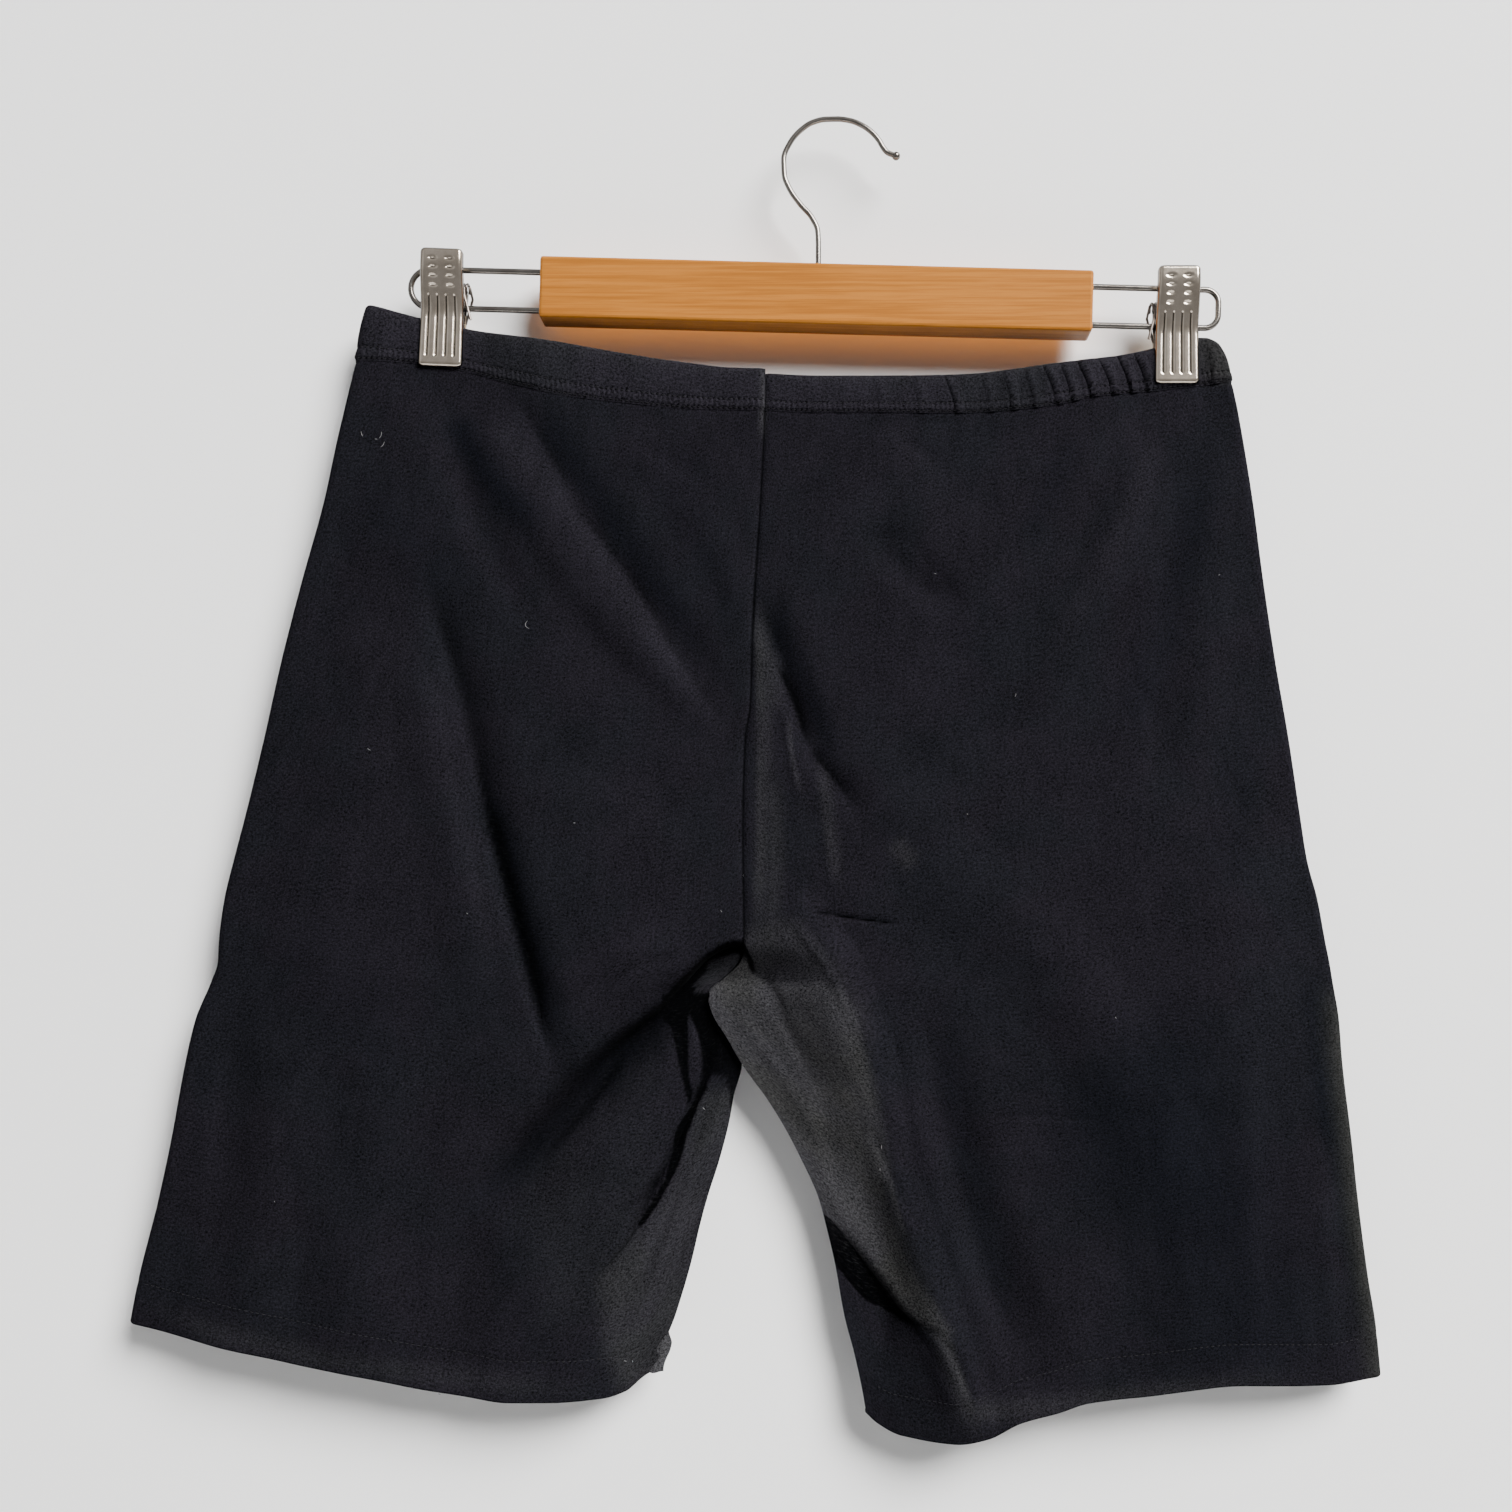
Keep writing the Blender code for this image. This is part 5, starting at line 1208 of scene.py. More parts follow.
def bandPiece(half):
    plan = bandGrid
    width, height = plan["width"][half.name], plan["height"]
    shares = shareColumns(int(width / plan["pitch"]), width, plan["innerMarks"],
                          plan["sideMarks"])
    topWall = plan["wall"] / 2
    firstTurn, turns = plan["topTurn"]
    bodyFrom, bodyTo, bodyCount = plan["bodyRows"]
    depths = np.array(
        [topWall * (1 - math.cos(a)) for a in np.linspace(firstTurn, math.pi / 2, turns)]
        + list(np.linspace(topWall * bodyFrom, height - bodyTo, bodyCount))
        + list(height - np.array(plan["seamRows"])))
    down = (depths / height)[:, None]
    corner = plan["corner"][half.name]

    def dropOf(share):
        top = half.bandEdge(share, 1)
        x = half.xAt(share, shorts["topRow"], "front")
        fromSide = np.abs(half.outer(shorts["topRow"]) - x)
        top = top + corner * (1 - quarterRound(fromSide / corner))
        return top + (half.bandEdge(share, 2) - top) * down

    grid, *masks = clothGrid(half, shares, shares, dropOf, down)
    seamWall, rowHalf = plan["seamWall"] / 2, plan["rowHalf"]
    outerHalves, innerHalves, holes = [], [], []
    for line, depth in zip(grid, depths):
        fromSeam = height - depth
        thick = topWall * quarterRound(depth / topWall) if depth < topWall else topWall
        thick = min(thick, seamWall + (topWall - seamWall) * float(
            ease(fromSeam / plan["seamFade"])))
        puff = plan["puff"] * math.sin(math.pi * min(1, depth / (height - 5))) ** 0.7
        run = np.linalg.norm(np.diff(line, axis=0), axis=1)
        travel = np.concatenate([[0], np.cumsum(run)])
        stitched = (math.exp(-((fromSeam - plan["rowAbove"]) / rowHalf) ** 2)
                    + math.exp(-((fromSeam - plan["rowBelow"]) / rowHalf) ** 2))
        between = float(ease((plan["rowAbove"] + 0.4 - fromSeam) / plan["rowFade"])
                        * ease((fromSeam - plan["rowBelow"]) / plan["rowFade"]))
        hole = 0.5 + 0.5 * np.cos(math.tau * travel / plan["ribPitch"])
        relief = (puff - plan["groove"] * stitched * (0.3 + 0.7 * hole)
                  + plan["rib"] * between * (1 - hole))
        holes.append(hole * stitched)
        relief = relief * ease(np.minimum(travel, travel[-1] - travel) / plan["endCalm"])
        outerHalves.append(np.full(len(line), thick) + relief * min(1, thick / topWall))
        innerHalves.append(np.full(len(line), thick))
    # painted shade, lighter on the band, and darker needle holes
    masks[0] = np.clip(masks[0] * 0.6, 0, 1) + plan["holeDark"] * np.stack(holes) ** 2
    worn, fade = plan["topWorn"]
    masks[1] = np.maximum(masks[1], worn * np.exp(-depths / fade)[:, None])
    label = "waistband" + half.name.title()
    mesh = wallMesh(label, grid, half.outward, np.stack(outerHalves), np.stack(innerHalves),
                    dict(zip(maskNames, masks)), clothMap(grid))
    return addPiece(label, mesh, bandJersey, ("waistband_" + half.name,))


for name, half in halves.items():
    bandPiece(half)
print("waistband made")


# Stitching, lint and the loose end of the inseam

threadPlan = {
    "radius": 0.15, "sides": 5, "bandPitch": 2.4, "hemPitch": 2.7, "length": 0.56,
    "rise": 0.14, "hemRow": 18.4, "above": 0.02, "samples": 900,
    "bandEnds": (0.004, 0.992), "hemEnds": (0.03, 0.985),
    # one stitch: share of its length, share of its rise, share of its radius
    "arch": ((-0.5, -0.30, 0.6), (-0.34, 0.55, 1.0), (0.0, 1.0, 1.0), (0.34, 0.55, 1.0),
             (0.5, -0.30, 0.6)),
}


def stitchesAlong(points, normals, pitch):
    # thread over the cloth: one low arch to a stitch, its ends down in the needle holes
    plan = threadPlan
    run = np.concatenate([[0], np.cumsum(np.linalg.norm(np.diff(points, axis=0), axis=1))])
    count = int(run[-1] / pitch)
    centre = (np.arange(count) + 0.5) * run[-1] / count
    along, rise, slim = np.array(plan["arch"]).T
    rise = rise * plan["rise"]
    at = centre[:, None] + (along * plan["length"] * pitch)[None, :]
    middle, up = (np.stack([np.interp(at, run, table[:, k]) for k in range(3)], -1)
                  for table in (points, normals))
    up /= np.linalg.norm(up, axis=-1, keepdims=True)
    middle = middle + up * rise[None, :, None]
    way = np.gradient(middle, axis=1)
    way /= np.linalg.norm(way, axis=-1, keepdims=True)
    side = np.cross(way, up)
    turn = np.arange(plan["sides"]) * math.tau / plan["sides"]
    ring = (up[:, :, None] * np.cos(turn)[None, None, :, None]
            + side[:, :, None] * np.sin(turn)[None, None, :, None])
    return middle[:, :, None] + ring * (plan["radius"] * slim)[None, :, None, None]


def threadMesh(name, groups):
    sides = threadPlan["sides"]
    verts, faces, first = [], [], 0
    for stitches in groups:
        count, rings = stitches.shape[:2]
        verts.append(stitches.reshape(-1, 3) * mm)
        for _ in range(count):
            ring = [range(first + r * sides, first + (r + 1) * sides) for r in range(rings)]
            for a, b in zip(ring, ring[1:]):
                for i in range(sides):
                    n = (i + 1) % sides
                    faces.append((a[i], a[n], b[n], b[i]))
            faces += [tuple(ring[0]), tuple(ring[-1])]
            first += rings * sides
    return closeUp(plainMesh(name, np.concatenate(verts).tolist(), faces), 70)


def stitchedRow(half, layer, share, drop, wall, pitch, down=None):
    points, normals = surfaceAt(half, layer, share, drop, down)
    return stitchesAlong(points + normals * (wall / 2 + threadPlan["above"]), normals, pitch)


def bandStitches(half):
    share = np.linspace(*threadPlan["bandEnds"], threadPlan["samples"])
    top, seam = half.bandEdge(share, 1), half.bandEdge(share, 2)
    rows = []
    for layer in layers:
        for fromSeam in (bandGrid["rowAbove"], bandGrid["rowBelow"]):
            down = 1 - fromSeam / bandGrid["height"]
            rows.append(stitchedRow(half, layer, share, top + (seam - top) * down,
                                    bandGrid["wall"], threadPlan["bandPitch"],
                                    down * np.ones_like(share)))
    return rows


def hemStitches(half):
    share = np.linspace(*threadPlan["hemEnds"], threadPlan["samples"])
    drop = half.hemEdge(share) - threadPlan["hemRow"]
    return [stitchedRow(half, layer, share, drop, shorts["wall"], threadPlan["hemPitch"])
            for layer in layers]


def fibreMaterial(name, look):
    material, tree = newMaterial(name)
    patch = noiseOf(tree, placeInMm(tree), look["scale"])
    if "span" in look:
        patch = rampOf(tree, patch, *look["span"])
    setSurface(tree, {"Base Color": mixColour(tree, patch, look["dark"], look["light"]),
                      "Roughness": look["roughness"], "Specular IOR Level": look["specular"]})
    return material


threadLook = {
    "dark": (0.0050, 0.0048, 0.0060, 1), "light": (0.014, 0.0135, 0.016, 1),
    "scale": 2.2, "span": (0.3, 0.7), "roughness": 0.6, "specular": 0.12,
}
lintLook = {
    "dark": (0.06, 0.06, 0.065, 1), "light": (0.26, 0.26, 0.27, 1),
    "scale": 0.9, "roughness": 0.9, "specular": 0.5,
}
lintForm = {
    "radii": [0.05, 0.10, 0.12, 0.13, 0.12, 0.10, 0.05], "sides": 5,
    "above": 0.28, "wave": 0.1, "bow": 0.8,
}
# Lint: x, drop, length, turn and curl of each fibre.
lintBits = (
    (-218.2, 148.0, 2.6, 70, 0.3), (-209.6, 148.6, 3.2, -68, 0.7),
    (-208.4, 153.0, 3.0, -55, 0.5),
    (-211.5, 150.5, 1.2, 10, 0.2), (-139.5, 238.0, 3.8, 80, 1.9), (-213.0, 296.0, 1.6, 30, 0.4),
    (86.4, 270.8, 1.6, -75, 0.5), (49.4, 214.0, 1.0, 20, 0.3), (25.8, 479.2, 1.9, 88, 0.2),
    (-58.9, 463.4, 1.5, 50, 0.5), (25.0, 489.8, 1.4, 84, 0.3), (-95.4, 580.9, 1.2, 10, 0.2),
    (-92.0, 581.4, 0.9, 70, 0.2), (-49.8, 370.9, 1.1, 60, 0.4), (-118.0, 330.0, 0.9, 0, 0.3),
    (-167.0, 372.0, 0.8, 30, 0.2), (132.0, 420.0, 0.8, 65, 0.3), (64.0, 326.0, 0.7, 15, 0.3),
    (182.0, 214.0, 0.8, -30, 0.3), (-256.0, 505.0, 0.8, 40, 0.3), (-180.0, 594.0, 1.1, 20, 0.4),
)


def innerFront(drop):
    return float(halves["left"].inner(np.array(float(drop)), "front"))


def lintPiece():
    fibres = []
    for x, drop, length, turn, curl in lintBits:
        half = halves["left" if x < innerFront(drop) else "right"]
        at = np.array([float(shareOfX(half, "front", x, drop))])
        (point,), (normal,) = surfaceAt(half, "front", at, np.array([float(drop)]))
        heading = math.radians(turn)
        flat = np.array([math.cos(heading), 0.0, -math.sin(heading)])
        aside = np.cross(flat, normal)
        line = []
        for k in range(len(lintForm["radii"])):
            q = k / (len(lintForm["radii"]) - 1) - 0.5
            bow = curl * (0.25 - q * q) * length * lintForm["bow"]
            height = shorts["wall"] / 2 + lintForm["above"] + lintForm["wave"] * math.sin(7 * q)
            line.append(point + flat * q * length + aside * bow + normal * height)
        fibres.append((line, lintForm["radii"]))
    mesh = tubesMesh("lint", lintForm["sides"], *fibres)
    return addPiece("lint", mesh, fibreMaterial("lint", lintLook))


# its masks: no painted shade, mostly the rubbed and lit grey, half the painted side light and
# half the painted light of the bulges
tabPlan = {
    "top": 567.0, "bottom": 587.0, "reach": 4.2, "wall": 0.8, "rows": 26, "columns": 9,
    "behind": 3.4, "root": 3.0, "out": 1.75, "masks": (0, 0.95, 0.5, 0.5),
}


def tabPiece():
    # end of the inseam's allowance, folded out at the left hem
    plan = tabPlan
    drops = np.linspace(plan["top"], plan["bottom"], plan["rows"])
    grid = np.zeros((plan["rows"], plan["columns"], 3))
    for r, drop in enumerate(drops):
        q = (drop - plan["top"]) / (plan["bottom"] - plan["top"])
        edge = innerFront(drop)
        reach = plan["reach"] * float(ease(q / 0.35)) * (1 - 0.10 * math.sin(9 * q))
        for c, u in enumerate(np.linspace(0, 1, plan["columns"])):
            grid[r, c] = (edge - plan["behind"] + (plan["root"] + reach) * u,
                          -plan["out"] - 0.5 * math.sin(math.pi * u)
                          + 0.25 * math.sin(11 * q + 2 * u),
                          -drop - 0.4 * math.sin(5 * u))
    half = np.full(grid.shape[:2], plan["wall"] / 2)
    masks = {name: value * np.ones(grid.shape[:2])
             for name, value in zip(maskNames, plan["masks"])}
    mesh = wallMesh("hemTab", grid, 1, half, half, masks, clothMap(grid))
    piece = addPiece("hemTab", mesh, jersey)
    return piece


thread = fibreMaterial("thread", threadLook)
for name, slot, stitchesOf in (("bandStitches", "waistband", bandStitches),
                               ("hemStitches", "jersey", hemStitches)):
    groups = [group for half in halves.values() for group in stitchesOf(half)]
    addPiece(name, threadMesh(name, groups), thread)
lintPiece()
tabPiece()
print("stitching and lint made")


# Hanger

hanger = {
    "barLength": 258.0, "barHeight": 28.4, "barX": -5.9, "barDrop": 83.2, "barTilt": 1.5,
    "hookWire": 2.5, "hookBall": 3.9, "hookInBar": 12.0, "hookFoot": 0.9, "hookRows": 110,
    "ballFrom": 0.24, "ballTo": 0.995, "ballRings": 16,
    "loopWire": 2.8, "loopSpread": 18.0, "loopInBar": 10.0, "loopRows": 12, "loopTurns": 24,
    "loopEnds": {"left": -196.5, "right": 183.0},
    "loopCorner": {"left": 9.0, "right": 6.4},
    "clipHeight": 51.6, "clipTopWidth": 18.0, "clipBottomWidth": 19.3, "clipSheet": 1.0,
    "clipFlange": 3.2, "clipBackHeight": 38.0, "jawReach": 22.0, "clipSpread": 9.0,
    "bandWall": 2.2, "clearance": 0.3,
    "coil": 5.4, "coilWire": 1.2, "coilTurns": 11,
    # x, drop
    "hookLine": (
        (-5.0, 58), (-5.3, 51.5), (-8.1, 45), (-13.5, 38.8), (-18.6, 31.4), (-21.0, 25),
        (-21.3, 17.5), (-18.3, 9.8), (-13.5, 4.1), (-7.8, 0.3), (-1.6, -1.2), (4.4, -1.3),
        (10.2, -0.5), (15.6, 1.7), (20.2, 5.0), (23.5, 8.8), (25.6, 12.4), (27.4, 14.4),
        (30.2, 15.6)),
}


def barPoint(along, up):
    tilt = math.radians(hanger["barTilt"])
    return (hanger["barX"] + along * math.cos(tilt) + up * math.sin(tilt),
            hanger["barDrop"] + along * math.sin(tilt) - up * math.cos(tilt))


def hookPath():
    footX = hanger["barX"] + hanger["hookFoot"]
    top = hanger["barDrop"] - hanger["barHeight"] / 2
    points = [(footX, top + hanger["hookInBar"]), (footX, top - 3)] + list(hanger["hookLine"])
    places = np.array(points, float)
    run = np.concatenate([[0], np.cumsum(np.linalg.norm(np.diff(places, axis=0), axis=1))])
    table = [(s, x, d) for s, (x, d) in zip(run, places)]
    at = np.concatenate([[0.0], np.linspace(run[1], run[-1], hanger["hookRows"])])
    return [(float(x), 0.0, -float(d))
            for x, d in zip(through(table, 1, at), through(table, 2, at))]


def hookPiece(material):
    # the bent wire with the round ball at its tip
    line = hookPath()
    radii = [hanger["hookWire"] / 2] * len(line)
    end = Vector(line[-1])
    way = (end - Vector(line[-2])).normalized()
    ball, rings = hanger["hookBall"] / 2, hanger["ballRings"]
    start, full = hanger["ballFrom"], hanger["ballTo"]
    for k in range(1, rings + 1):
        turn = math.pi * (start + (full - start) * k / rings)
        line.append(tuple(end + way * ball * (math.cos(math.pi * start) - math.cos(turn))))
        radii.append(ball * math.sin(turn))
    return addPiece("hook", tubesMesh("hook", 24, (line, radii)), material,
                    ("hanger_hook",))


def loopPiece(name, material):
    side = -1 if name == "left" else 1
    half = hanger["loopSpread"] / 2
    corner = hanger["loopCorner"][name]
    inside = side * (hanger["barLength"] / 2 - hanger["loopInBar"])
    far = (hanger["loopEnds"][name] - hanger["barX"]) / math.cos(
        math.radians(hanger["barTilt"]))
    rows, turns = hanger["loopRows"], hanger["loopTurns"]
    points = [(inside + (far - inside) * k / rows, half) for k in range(rows)]
    points = [p for p in points if side * p[0] < side * (far - side * corner) - 1]
    back = [(along, -up) for along, up in points][::-1]
    for k in range(turns + 1):
        turn = math.pi * k / turns
        up = math.cos(turn)
        lift = (half - corner) * (1 if up > 0 else -1) if 2 * k != turns else 0.0
        points.append((far - side * corner * (1 - math.sin(turn)), up * corner + lift))
    points += back
    line = [(x, 0.0, -drop) for x, drop in (barPoint(*p) for p in points)]
    label = "loop" + name.title()
    return addPiece(label, tubesMesh(label, 20, (line, hanger["loopWire"] / 2)), material,
                    ("wire_loop_" + name,))


clipRelief = {
    "cell": 0.3, "rim": 1.2, "corner": 1.3, "lip": 1.0,
    "ovalRows": (4.2, 7.9, 11.6, 15.6), "ovalAside": 4.1, "ovalHalf": (2.9, 1.25),
    "ovalDepth": 0.8,
    "fluteAsides": (-6.1, -2.05, 2.05, 6.1), "fluteTop": 18.9, "fluteEnd": 48.3,
    "fluteHalf": 1.1, "fluteDepth": 0.85, "slope": {"oval": 1.1, "flute": 1.15},
    "edge": 2.4, "edgeRows": 10, "turnSteps": 6, "lipShare": 0.8, "opensOver": 26.0,
    "wall": 0.8,
}


def reliefAt(aside, down):
    # pressed ovals and flutes of a clip's face
    plan = clipRelief
    depth = np.zeros(np.broadcast(aside, down).shape)
    halfWide, halfTall = plan["ovalHalf"]
    for row in plan["ovalRows"]:
        for way in (-1, 1):
            q = np.hypot((aside - way * plan["ovalAside"]) / halfWide, (down - row) / halfTall)
            depth = np.maximum(depth, plan["ovalDepth"] * (1 - ease(q / plan["slope"]["oval"])))
    for centre in plan["fluteAsides"]:
        along = np.clip(down, plan["fluteTop"] + plan["fluteHalf"],
                        plan["fluteEnd"] - plan["fluteHalf"])
        q = np.hypot(aside - centre, down - along) / plan["fluteHalf"]
        depth = np.maximum(depth, plan["fluteDepth"] * (1 - ease(q / plan["slope"]["flute"])))
    return depth


def clipPlate(name, layer, height, material):
    # one pressed plate of a clip, its two sides turned towards the cloth
    plan, clip = clipRelief, clips[name]
    way = -1 if layer == "front" else 1
    jaw = shorts["clippedLayer"] + hanger["bandWall"] / 2 + hanger["clearance"]
    bottom = hanger["clipHeight"] / 2
    edge, edgeRows = plan["edge"], plan["edgeRows"]
    down = np.concatenate([np.linspace(0, edge, edgeRows)[:-1],
                           np.linspace(edge, height - edge, int(height / plan["cell"])),
                           np.linspace(height - edge, height, edgeRows)[1:]])
    rim, wide, narrow = plan["rim"], hanger["clipBottomWidth"], hanger["clipTopWidth"]
    face = np.linspace(-1, 1, int(wide / plan["cell"]))
    pressedHalf = (wide + narrow) / 4 - rim
    grid = []
    for below in down:
        above = height - below
        taper = above / hanger["clipHeight"]
        halfWidth = (wide * (1 - taper) + narrow * taper) / 2
        near = min(below, above)
        if near < plan["corner"]:
            halfWidth -= plan["corner"] * (1 - float(quarterRound(near / plan["corner"])))
        opening = (hanger["clipSpread"] - jaw) * float(
            ease((above - hanger["jawReach"]) / plan["opensOver"]))
        away = jaw + hanger["clipSheet"] + opening
        turned = min(hanger["clipFlange"], hanger["clipSheet"] + opening)
        lip = sum(plan["lip"] * (1 - float(quarterRound(gap / plan["lip"])))
                  * plan["lipShare"] for gap in (above, below))
        bend = min(rim, turned)
        sides = []
        for side in (-1, 1):
            part = [(side * halfWidth, away - back) for back in (turned, (turned + bend) / 2)]
            for turn in np.linspace(0, math.pi / 2, plan["turnSteps"])[:-1]:
                part.append((side * (halfWidth - bend * (1 - math.cos(turn))),
                             away - bend * (1 - math.sin(turn))))
            sides.append(part)
        middle = [(u * (halfWidth - bend), away) for u in face]
        if layer == "front":
            depth = reliefAt(face * pressedHalf, below)
            middle = [(a, y - d) for (a, y), d in zip(middle, depth)]
        section = sides[0] + middle + sides[1][::-1]
        grid.append([(a, way * (y - lip), above - bottom) for a, y in section])
    grid = np.array(grid)
    lean = math.radians(clip["lean"])
    x, z = grid[..., 0].copy(), grid[..., 2].copy()
    grid[..., 0] = clip["x"] + x * math.cos(lean) + z * math.sin(lean)
    grid[..., 2] = -clip["drop"] - x * math.sin(lean) + z * math.cos(lean)
    zero = np.zeros(grid.shape[:2])
    label = "clip" + layer.title() + name.title()
    mesh = wallMesh(label, grid, way, zero, zero + plan["wall"])
    return addPiece(label, mesh, material, ("clip_%s_%s" % (name, layer),))


springPlan = {
    # from the coil's middle: towards the bar's middle, y (none is the coil's back), drop
    "span": (-5.5, 12.6), "stepsATurn": 16,
    "startArm": ((-5.3, -4.4, 9), (-5.4, -3.4, 4)),
    "endArm": ((12.9, 3.0, 4), (9.6, 3.4, 15.5)),
    "backArm": ((10.0, None, 0), (10.2, -2.9, 4), (13.2, -3.0, 15.5)),
}


def springPiece(name, material):
    # coil with its two arms crossing towards the jaws
    clip = clips[name]
    drop = hanger["barDrop"] + math.sin(math.radians(hanger["barTilt"])) * (
        clip["x"] - hanger["barX"])
    radius = (hanger["coil"] - hanger["coilWire"]) / 2

    def at(along, y, down):
        return clip["x"] + clip["inner"] * along, y, -(drop + down)

    start, end = springPlan["span"]
    around = springPlan["stepsATurn"]
    steps = hanger["coilTurns"] * around
    coil = []
    for k in range(steps + 1):
        turn = math.tau * k / around + math.pi
        coil.append(at(start + (end - start) * k / steps, radius * math.cos(turn),
                       radius * math.sin(turn)))
    line = [at(*p) for p in springPlan["startArm"]] + coil + [
        at(*p) for p in springPlan["endArm"]]
    arm = [at(a, -radius if y is None else y, d) for a, y, d in springPlan["backArm"]]
    label, wireRadius = "spring" + name.title(), hanger["coilWire"] / 2
    mesh = tubesMesh(label, 10, (line, wireRadius), (arm, wireRadius))
    return addPiece(label, mesh, material, ("clip_%s_spring" % name,))


metals = {
    "wire": {"colour": (0.23, 0.212, 0.192, 1), "worn": (0.165, 0.148, 0.132, 1),
             "roughness": 0.22, "marks": 0.5},
    "nickel": {"colour": (0.56, 0.49, 0.41, 1), "worn": (0.46, 0.395, 0.32, 1),
               "roughness": 0.17, "marks": 0.6},
    "springSteel": {"colour": (0.20, 0.17, 0.15, 1), "worn": (0.12, 0.10, 0.09, 1),
                    "roughness": 0.32, "marks": 0.6},
}
# all of them: the painted dark reflection on the sides seen at a slant (from, to, share,
# colour), marks' roughness and bump
metalShare = {"grazing": (0.08, 0.62, 0.0, 0.94), "dark": (0.05, 0.045, 0.04, 1),
              "markRough": 0.10, "bump": (0.02, 0.00005)}


def metalMaterial(name, look):
    material, tree = newMaterial(name)
    scuffs = useGroup(tree, scuff, Place=placeInMm(tree), Amount=look["marks"])
    tint = mixColour(tree, scuffs["Tarnish"], look["colour"], look["worn"])
    # the sides seen at a slant get a painted dark reflection
    grazing = addNode(tree, "ShaderNodeLayerWeight", Blend=0.5).outputs["Facing"]
    setSurface(tree, {
        "Base Color": mixColour(tree, rampOf(tree, grazing, *metalShare["grazing"]), tint,
                                metalShare["dark"]),
        "Metallic": 1.0,
        "Roughness": timesPlus(tree, scuffs["Mark"], metalShare["markRough"],
                               look["roughness"]),
        "Normal": bumped(tree, scuffs["Mark"], *metalShare["bump"])})
    return material


woodLook = {
    "early": (0.280, 0.097, 0.0125, 1), "late": (0.385, 0.146, 0.0230, 1),
    "pore": (0.24, 0.08, 0.012, 1), "poreShare": 0.3,
    "stretch": (0.011, 0.5, 0.5), "waver": (0.0, 0.5, 0.9),
    "roughness": (0.2, 0.42), "bump": (0.2, 0.00015), "specular": 0.08,
}


def woodMaterial():
    look = woodLook
    material, tree = newMaterial("maple")
    place = placeInMm(tree)
    turned = mapped(tree, place, (0, -math.radians(hanger["barTilt"]), 0), look["stretch"])
    bend = addNode(tree, "ShaderNodeTexNoise", Vector=turned, Scale=1.2, Detail=2.0)
    shift = addNode(tree, "ShaderNodeVectorMath", operation="MULTIPLY_ADD")
    for i, value in enumerate((bend.outputs["Color"], look["waver"], turned)):
        put(tree, value, shift.inputs[i])
    grain = noiseOf(tree, shift.outputs[0], 1.5, 6.0, 0.62)
    pores = noiseOf(tree, shift.outputs[0], 7.0, 3.0, 0.6)
    colour = mixColour(tree, rampOf(tree, grain, 0.32, 0.68), look["early"], look["late"])
    inPore = times(tree, rampOf(tree, pores, 0.56, 0.72), look["poreShare"])
    scuffs = useGroup(tree, scuff, Place=place, Amount=0.5)
    setSurface(tree, {
        "Base Color": mixColour(tree, inPore, colour, look["pore"]),
        "Roughness": timesPlus(tree, scuffs["Mark"], *look["roughness"]),
        "Normal": bumped(tree, grain, *look["bump"]),
        "Specular IOR Level": look["specular"]})
    return material


wire, nickel, springSteel = (metalMaterial(name, look) for name, look in metals.items())
hookPiece(wire)
for name in clips:
    loopPiece(name, wire)
    clipPlate(name, "front", hanger["clipHeight"], nickel)
    clipPlate(name, "back", hanger["clipBackHeight"], nickel)
    springPiece(name, springSteel)
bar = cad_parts["hanger_bar"]
bar.data.materials.clear()
bar.data.materials.append(woodMaterial())
print("hanger made")


# Wall, floor, light and camera

def stageMaterial(name, seeThrough, pale):
    material, tree = newMaterial(name)
    cloud = noiseOf(tree, addNode(tree, "ShaderNodeTexCoord").outputs["Object"], 3.0)
    setSurface(tree, {
        "Base Color": mixColour(tree, cloud, (pale - 0.005,) * 3 + (1,), (pale,) * 3 + (1,)),
        "Roughness": 0.9, "Specular IOR Level": 0.1})
    if seeThrough:
        # clear from behind, and to the light that stands behind it
        facing = addNode(tree, "ShaderNodeNewGeometry").outputs["Backfacing"]
        shadow = addNode(tree, "ShaderNodeLightPath").outputs["Is Shadow Ray"]
        clear = addNode(tree, "ShaderNodeBsdfTransparent").outputs[0]
        mix = addNode(tree, "ShaderNodeMixShader")
        painted = tree.nodes["Principled BSDF"].outputs[0]
        for i, value in enumerate((mathOf(tree, "MAXIMUM", facing, shadow), painted, clear)):
            put(tree, value, mix.inputs[i])
        put(tree, mix.outputs[0], tree.nodes["Material Output"].inputs["Surface"])
    return material


def setPlace(item, place, towards=None):
    item.location = place
    if towards is not None:
        way = Vector(towards) - Vector(place)
        item.rotation_euler = way.to_track_quat("-Z", "Y").to_euler()
    bpy.context.scene.collection.objects.link(item)
    return item


stagePlan = {"wallBack": 0.0168, "floorDrop": 1.55, "wallTop": 3.6, "reach": 6.0,
             "floorDeep": 1.2, "wallPale": 0.93, "floorPale": 0.62}


def stagePlane(name, seeThrough, pale, low, high):
    # a plane across the stage from one line to the other, each as y and z
    reach = stagePlan["reach"]
    corners = [(-reach, *low), (reach, *low), (reach, *high), (-reach, *high)]
    item = bpy.data.objects.new(name, plainMesh(name, corners, [(0, 1, 2, 3)]))
    item.data.materials.append(stageMaterial(name + "Paint", seeThrough, pale))
    return setPlace(item, (0, 0, 0))


back, floorZ = stagePlan["wallBack"], -stagePlan["floorDrop"]
wall = stagePlane("wall", True, stagePlan["wallPale"], (back, floorZ),
                  (back, stagePlan["wallTop"]))
floor = stagePlane("floor", False, stagePlan["floorPale"], (-stagePlan["floorDeep"], floorZ),
                   (back, floorZ))

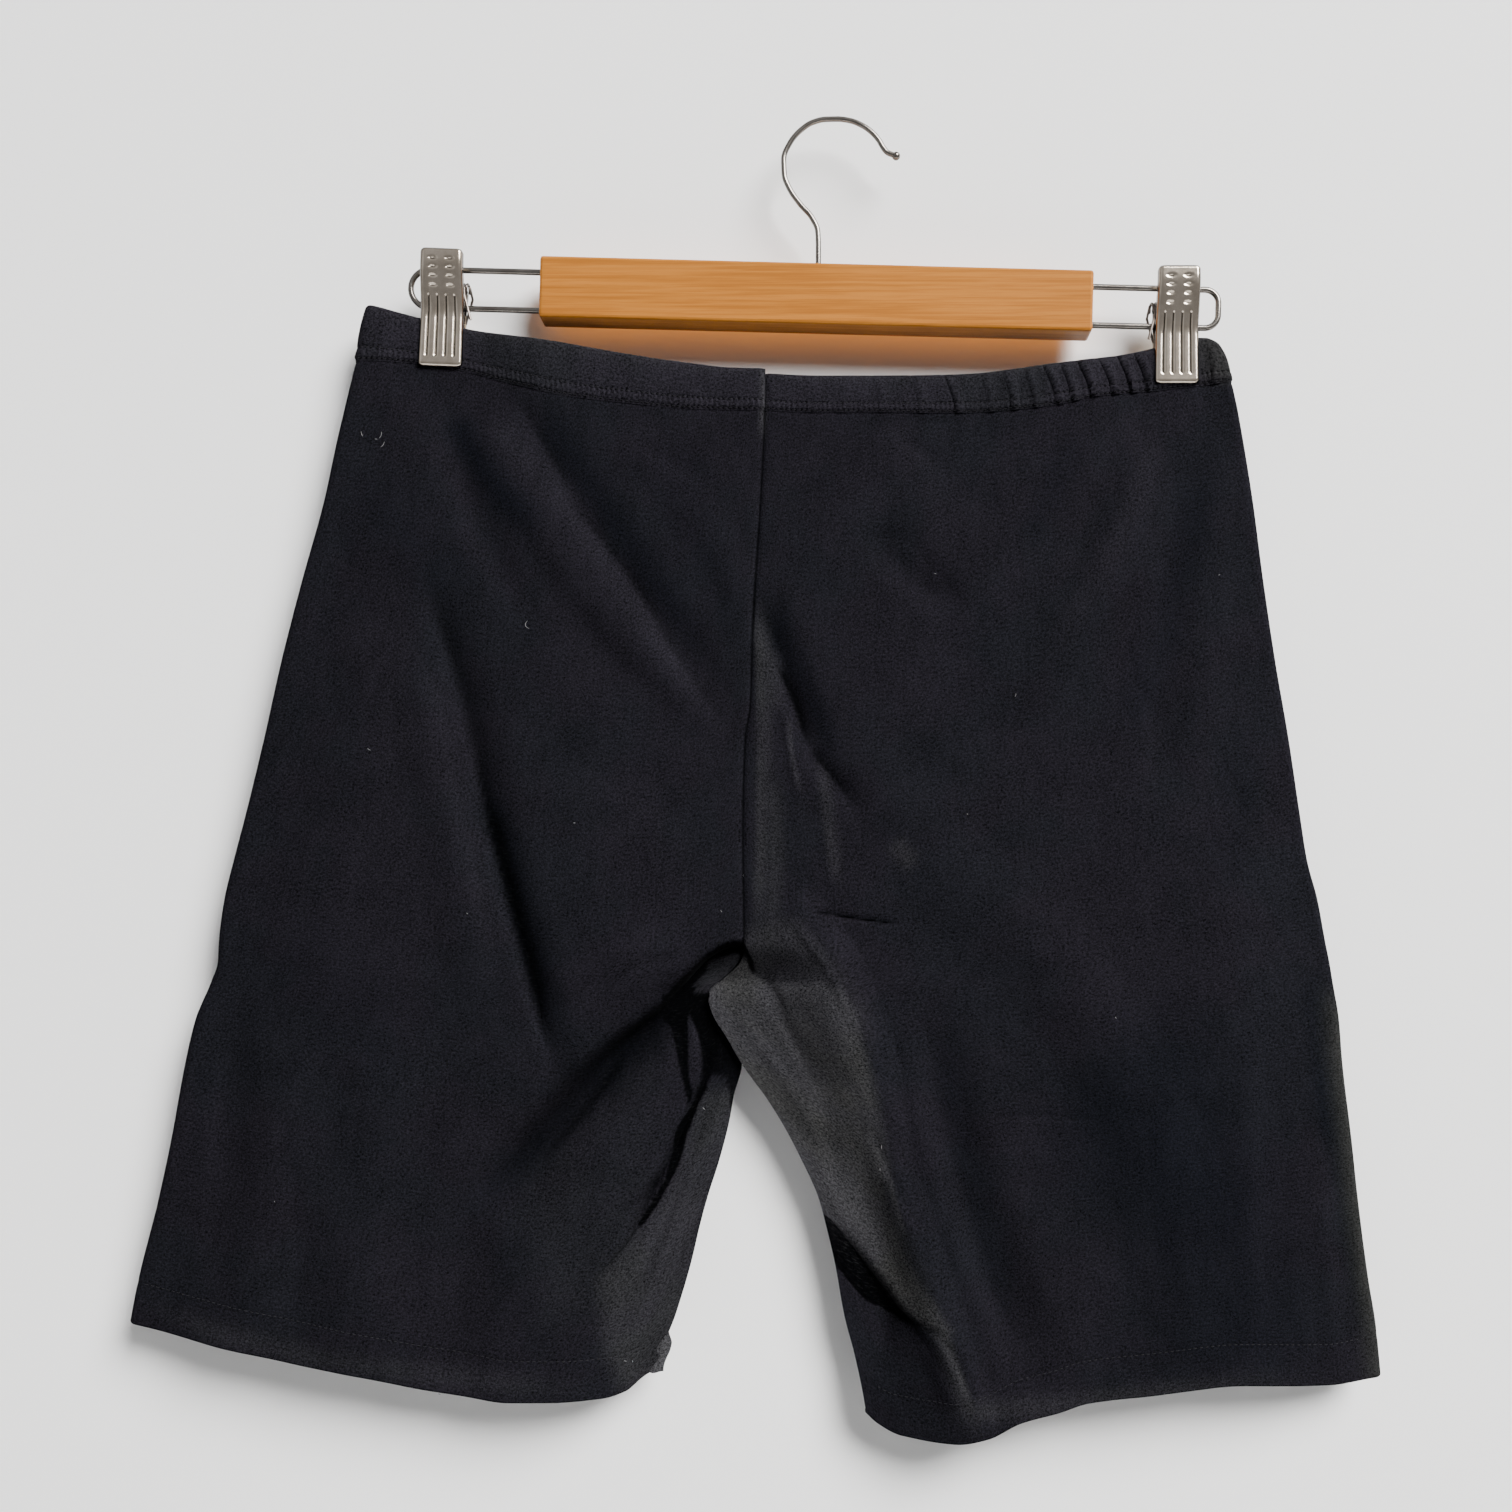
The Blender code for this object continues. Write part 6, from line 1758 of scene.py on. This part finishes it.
lights = {
    "key": {"place": (3.21, -3.96, 3.49), "size": 3.8, "power": 310.0, "spread": 80,
            "colour": (1.0, 0.992, 0.98), "shine": 1.0},
    "fill": {"place": (-2.2, -2.4, 0.3), "size": 2.4, "power": 4.0, "spread": 180,
             "colour": (0.95, 0.975, 1.0), "shine": 1.0},
    "behind": {"place": (0.7, 2.6, 0.35), "size": 1.8, "power": 22.0, "spread": 44,
               "colour": (1.0, 0.992, 0.98), "shine": 0.0},
}
for name, plan in lights.items():
    lamp = bpy.data.lights.new(name, "AREA")
    lamp.shape = "DISK"
    lamp.size = plan["size"]
    lamp.energy = plan["power"]
    lamp.color = plan["colour"]
    lamp.spread = math.radians(plan["spread"])
    lamp.specular_factor = plan["shine"]
    setPlace(bpy.data.objects.new(name, lamp), plan["place"], (0.0, 0.0, -0.35))

worldPlan = {"low": (0.30, 0.30, 0.305, 1), "high": (0.58, 0.58, 0.59, 1),
             "span": (-0.2, 0.9), "light": 0.20, "shine": 0.92, "seen": 2.4}
world = bpy.data.worlds.new("studio")
world.use_nodes = True
sky = world.node_tree
up = addNode(sky, "ShaderNodeSeparateXYZ", Vector=addNode(
    sky, "ShaderNodeTexCoord").outputs["Generated"]).outputs[2]
put(sky, mixColour(sky, rampOf(sky, up, *worldPlan["span"]), worldPlan["low"],
                   worldPlan["high"]), sky.nodes["Background"].inputs["Color"])
# the light it gives is less than what is seen of it or shines in the metal
ray = addNode(sky, "ShaderNodeLightPath").outputs
strength = timesPlus(sky, ray["Is Glossy Ray"], worldPlan["shine"], worldPlan["light"])
strength = timesPlus(sky, ray["Is Camera Ray"], worldPlan["seen"], strength)
put(sky, strength, sky.nodes["Background"].inputs["Strength"])
bpy.context.scene.world = world

cameraPlan = {"place": (-0.0014, -0.770, -0.363), "lens": 39.0, "sensor": 36.0,
              "shift": (-0.0463, 0.0913), "near": 0.01}
lensData = bpy.data.cameras.new("camera")
lensData.lens = cameraPlan["lens"]
lensData.sensor_width = cameraPlan["sensor"]
lensData.shift_x, lensData.shift_y = cameraPlan["shift"]
lensData.clip_start = cameraPlan["near"]
camera = setPlace(bpy.data.objects.new("camera", lensData), cameraPlan["place"])
camera.rotation_euler = (math.pi / 2, 0, 0)
bpy.context.scene.camera = camera
print("stage, light and camera made")
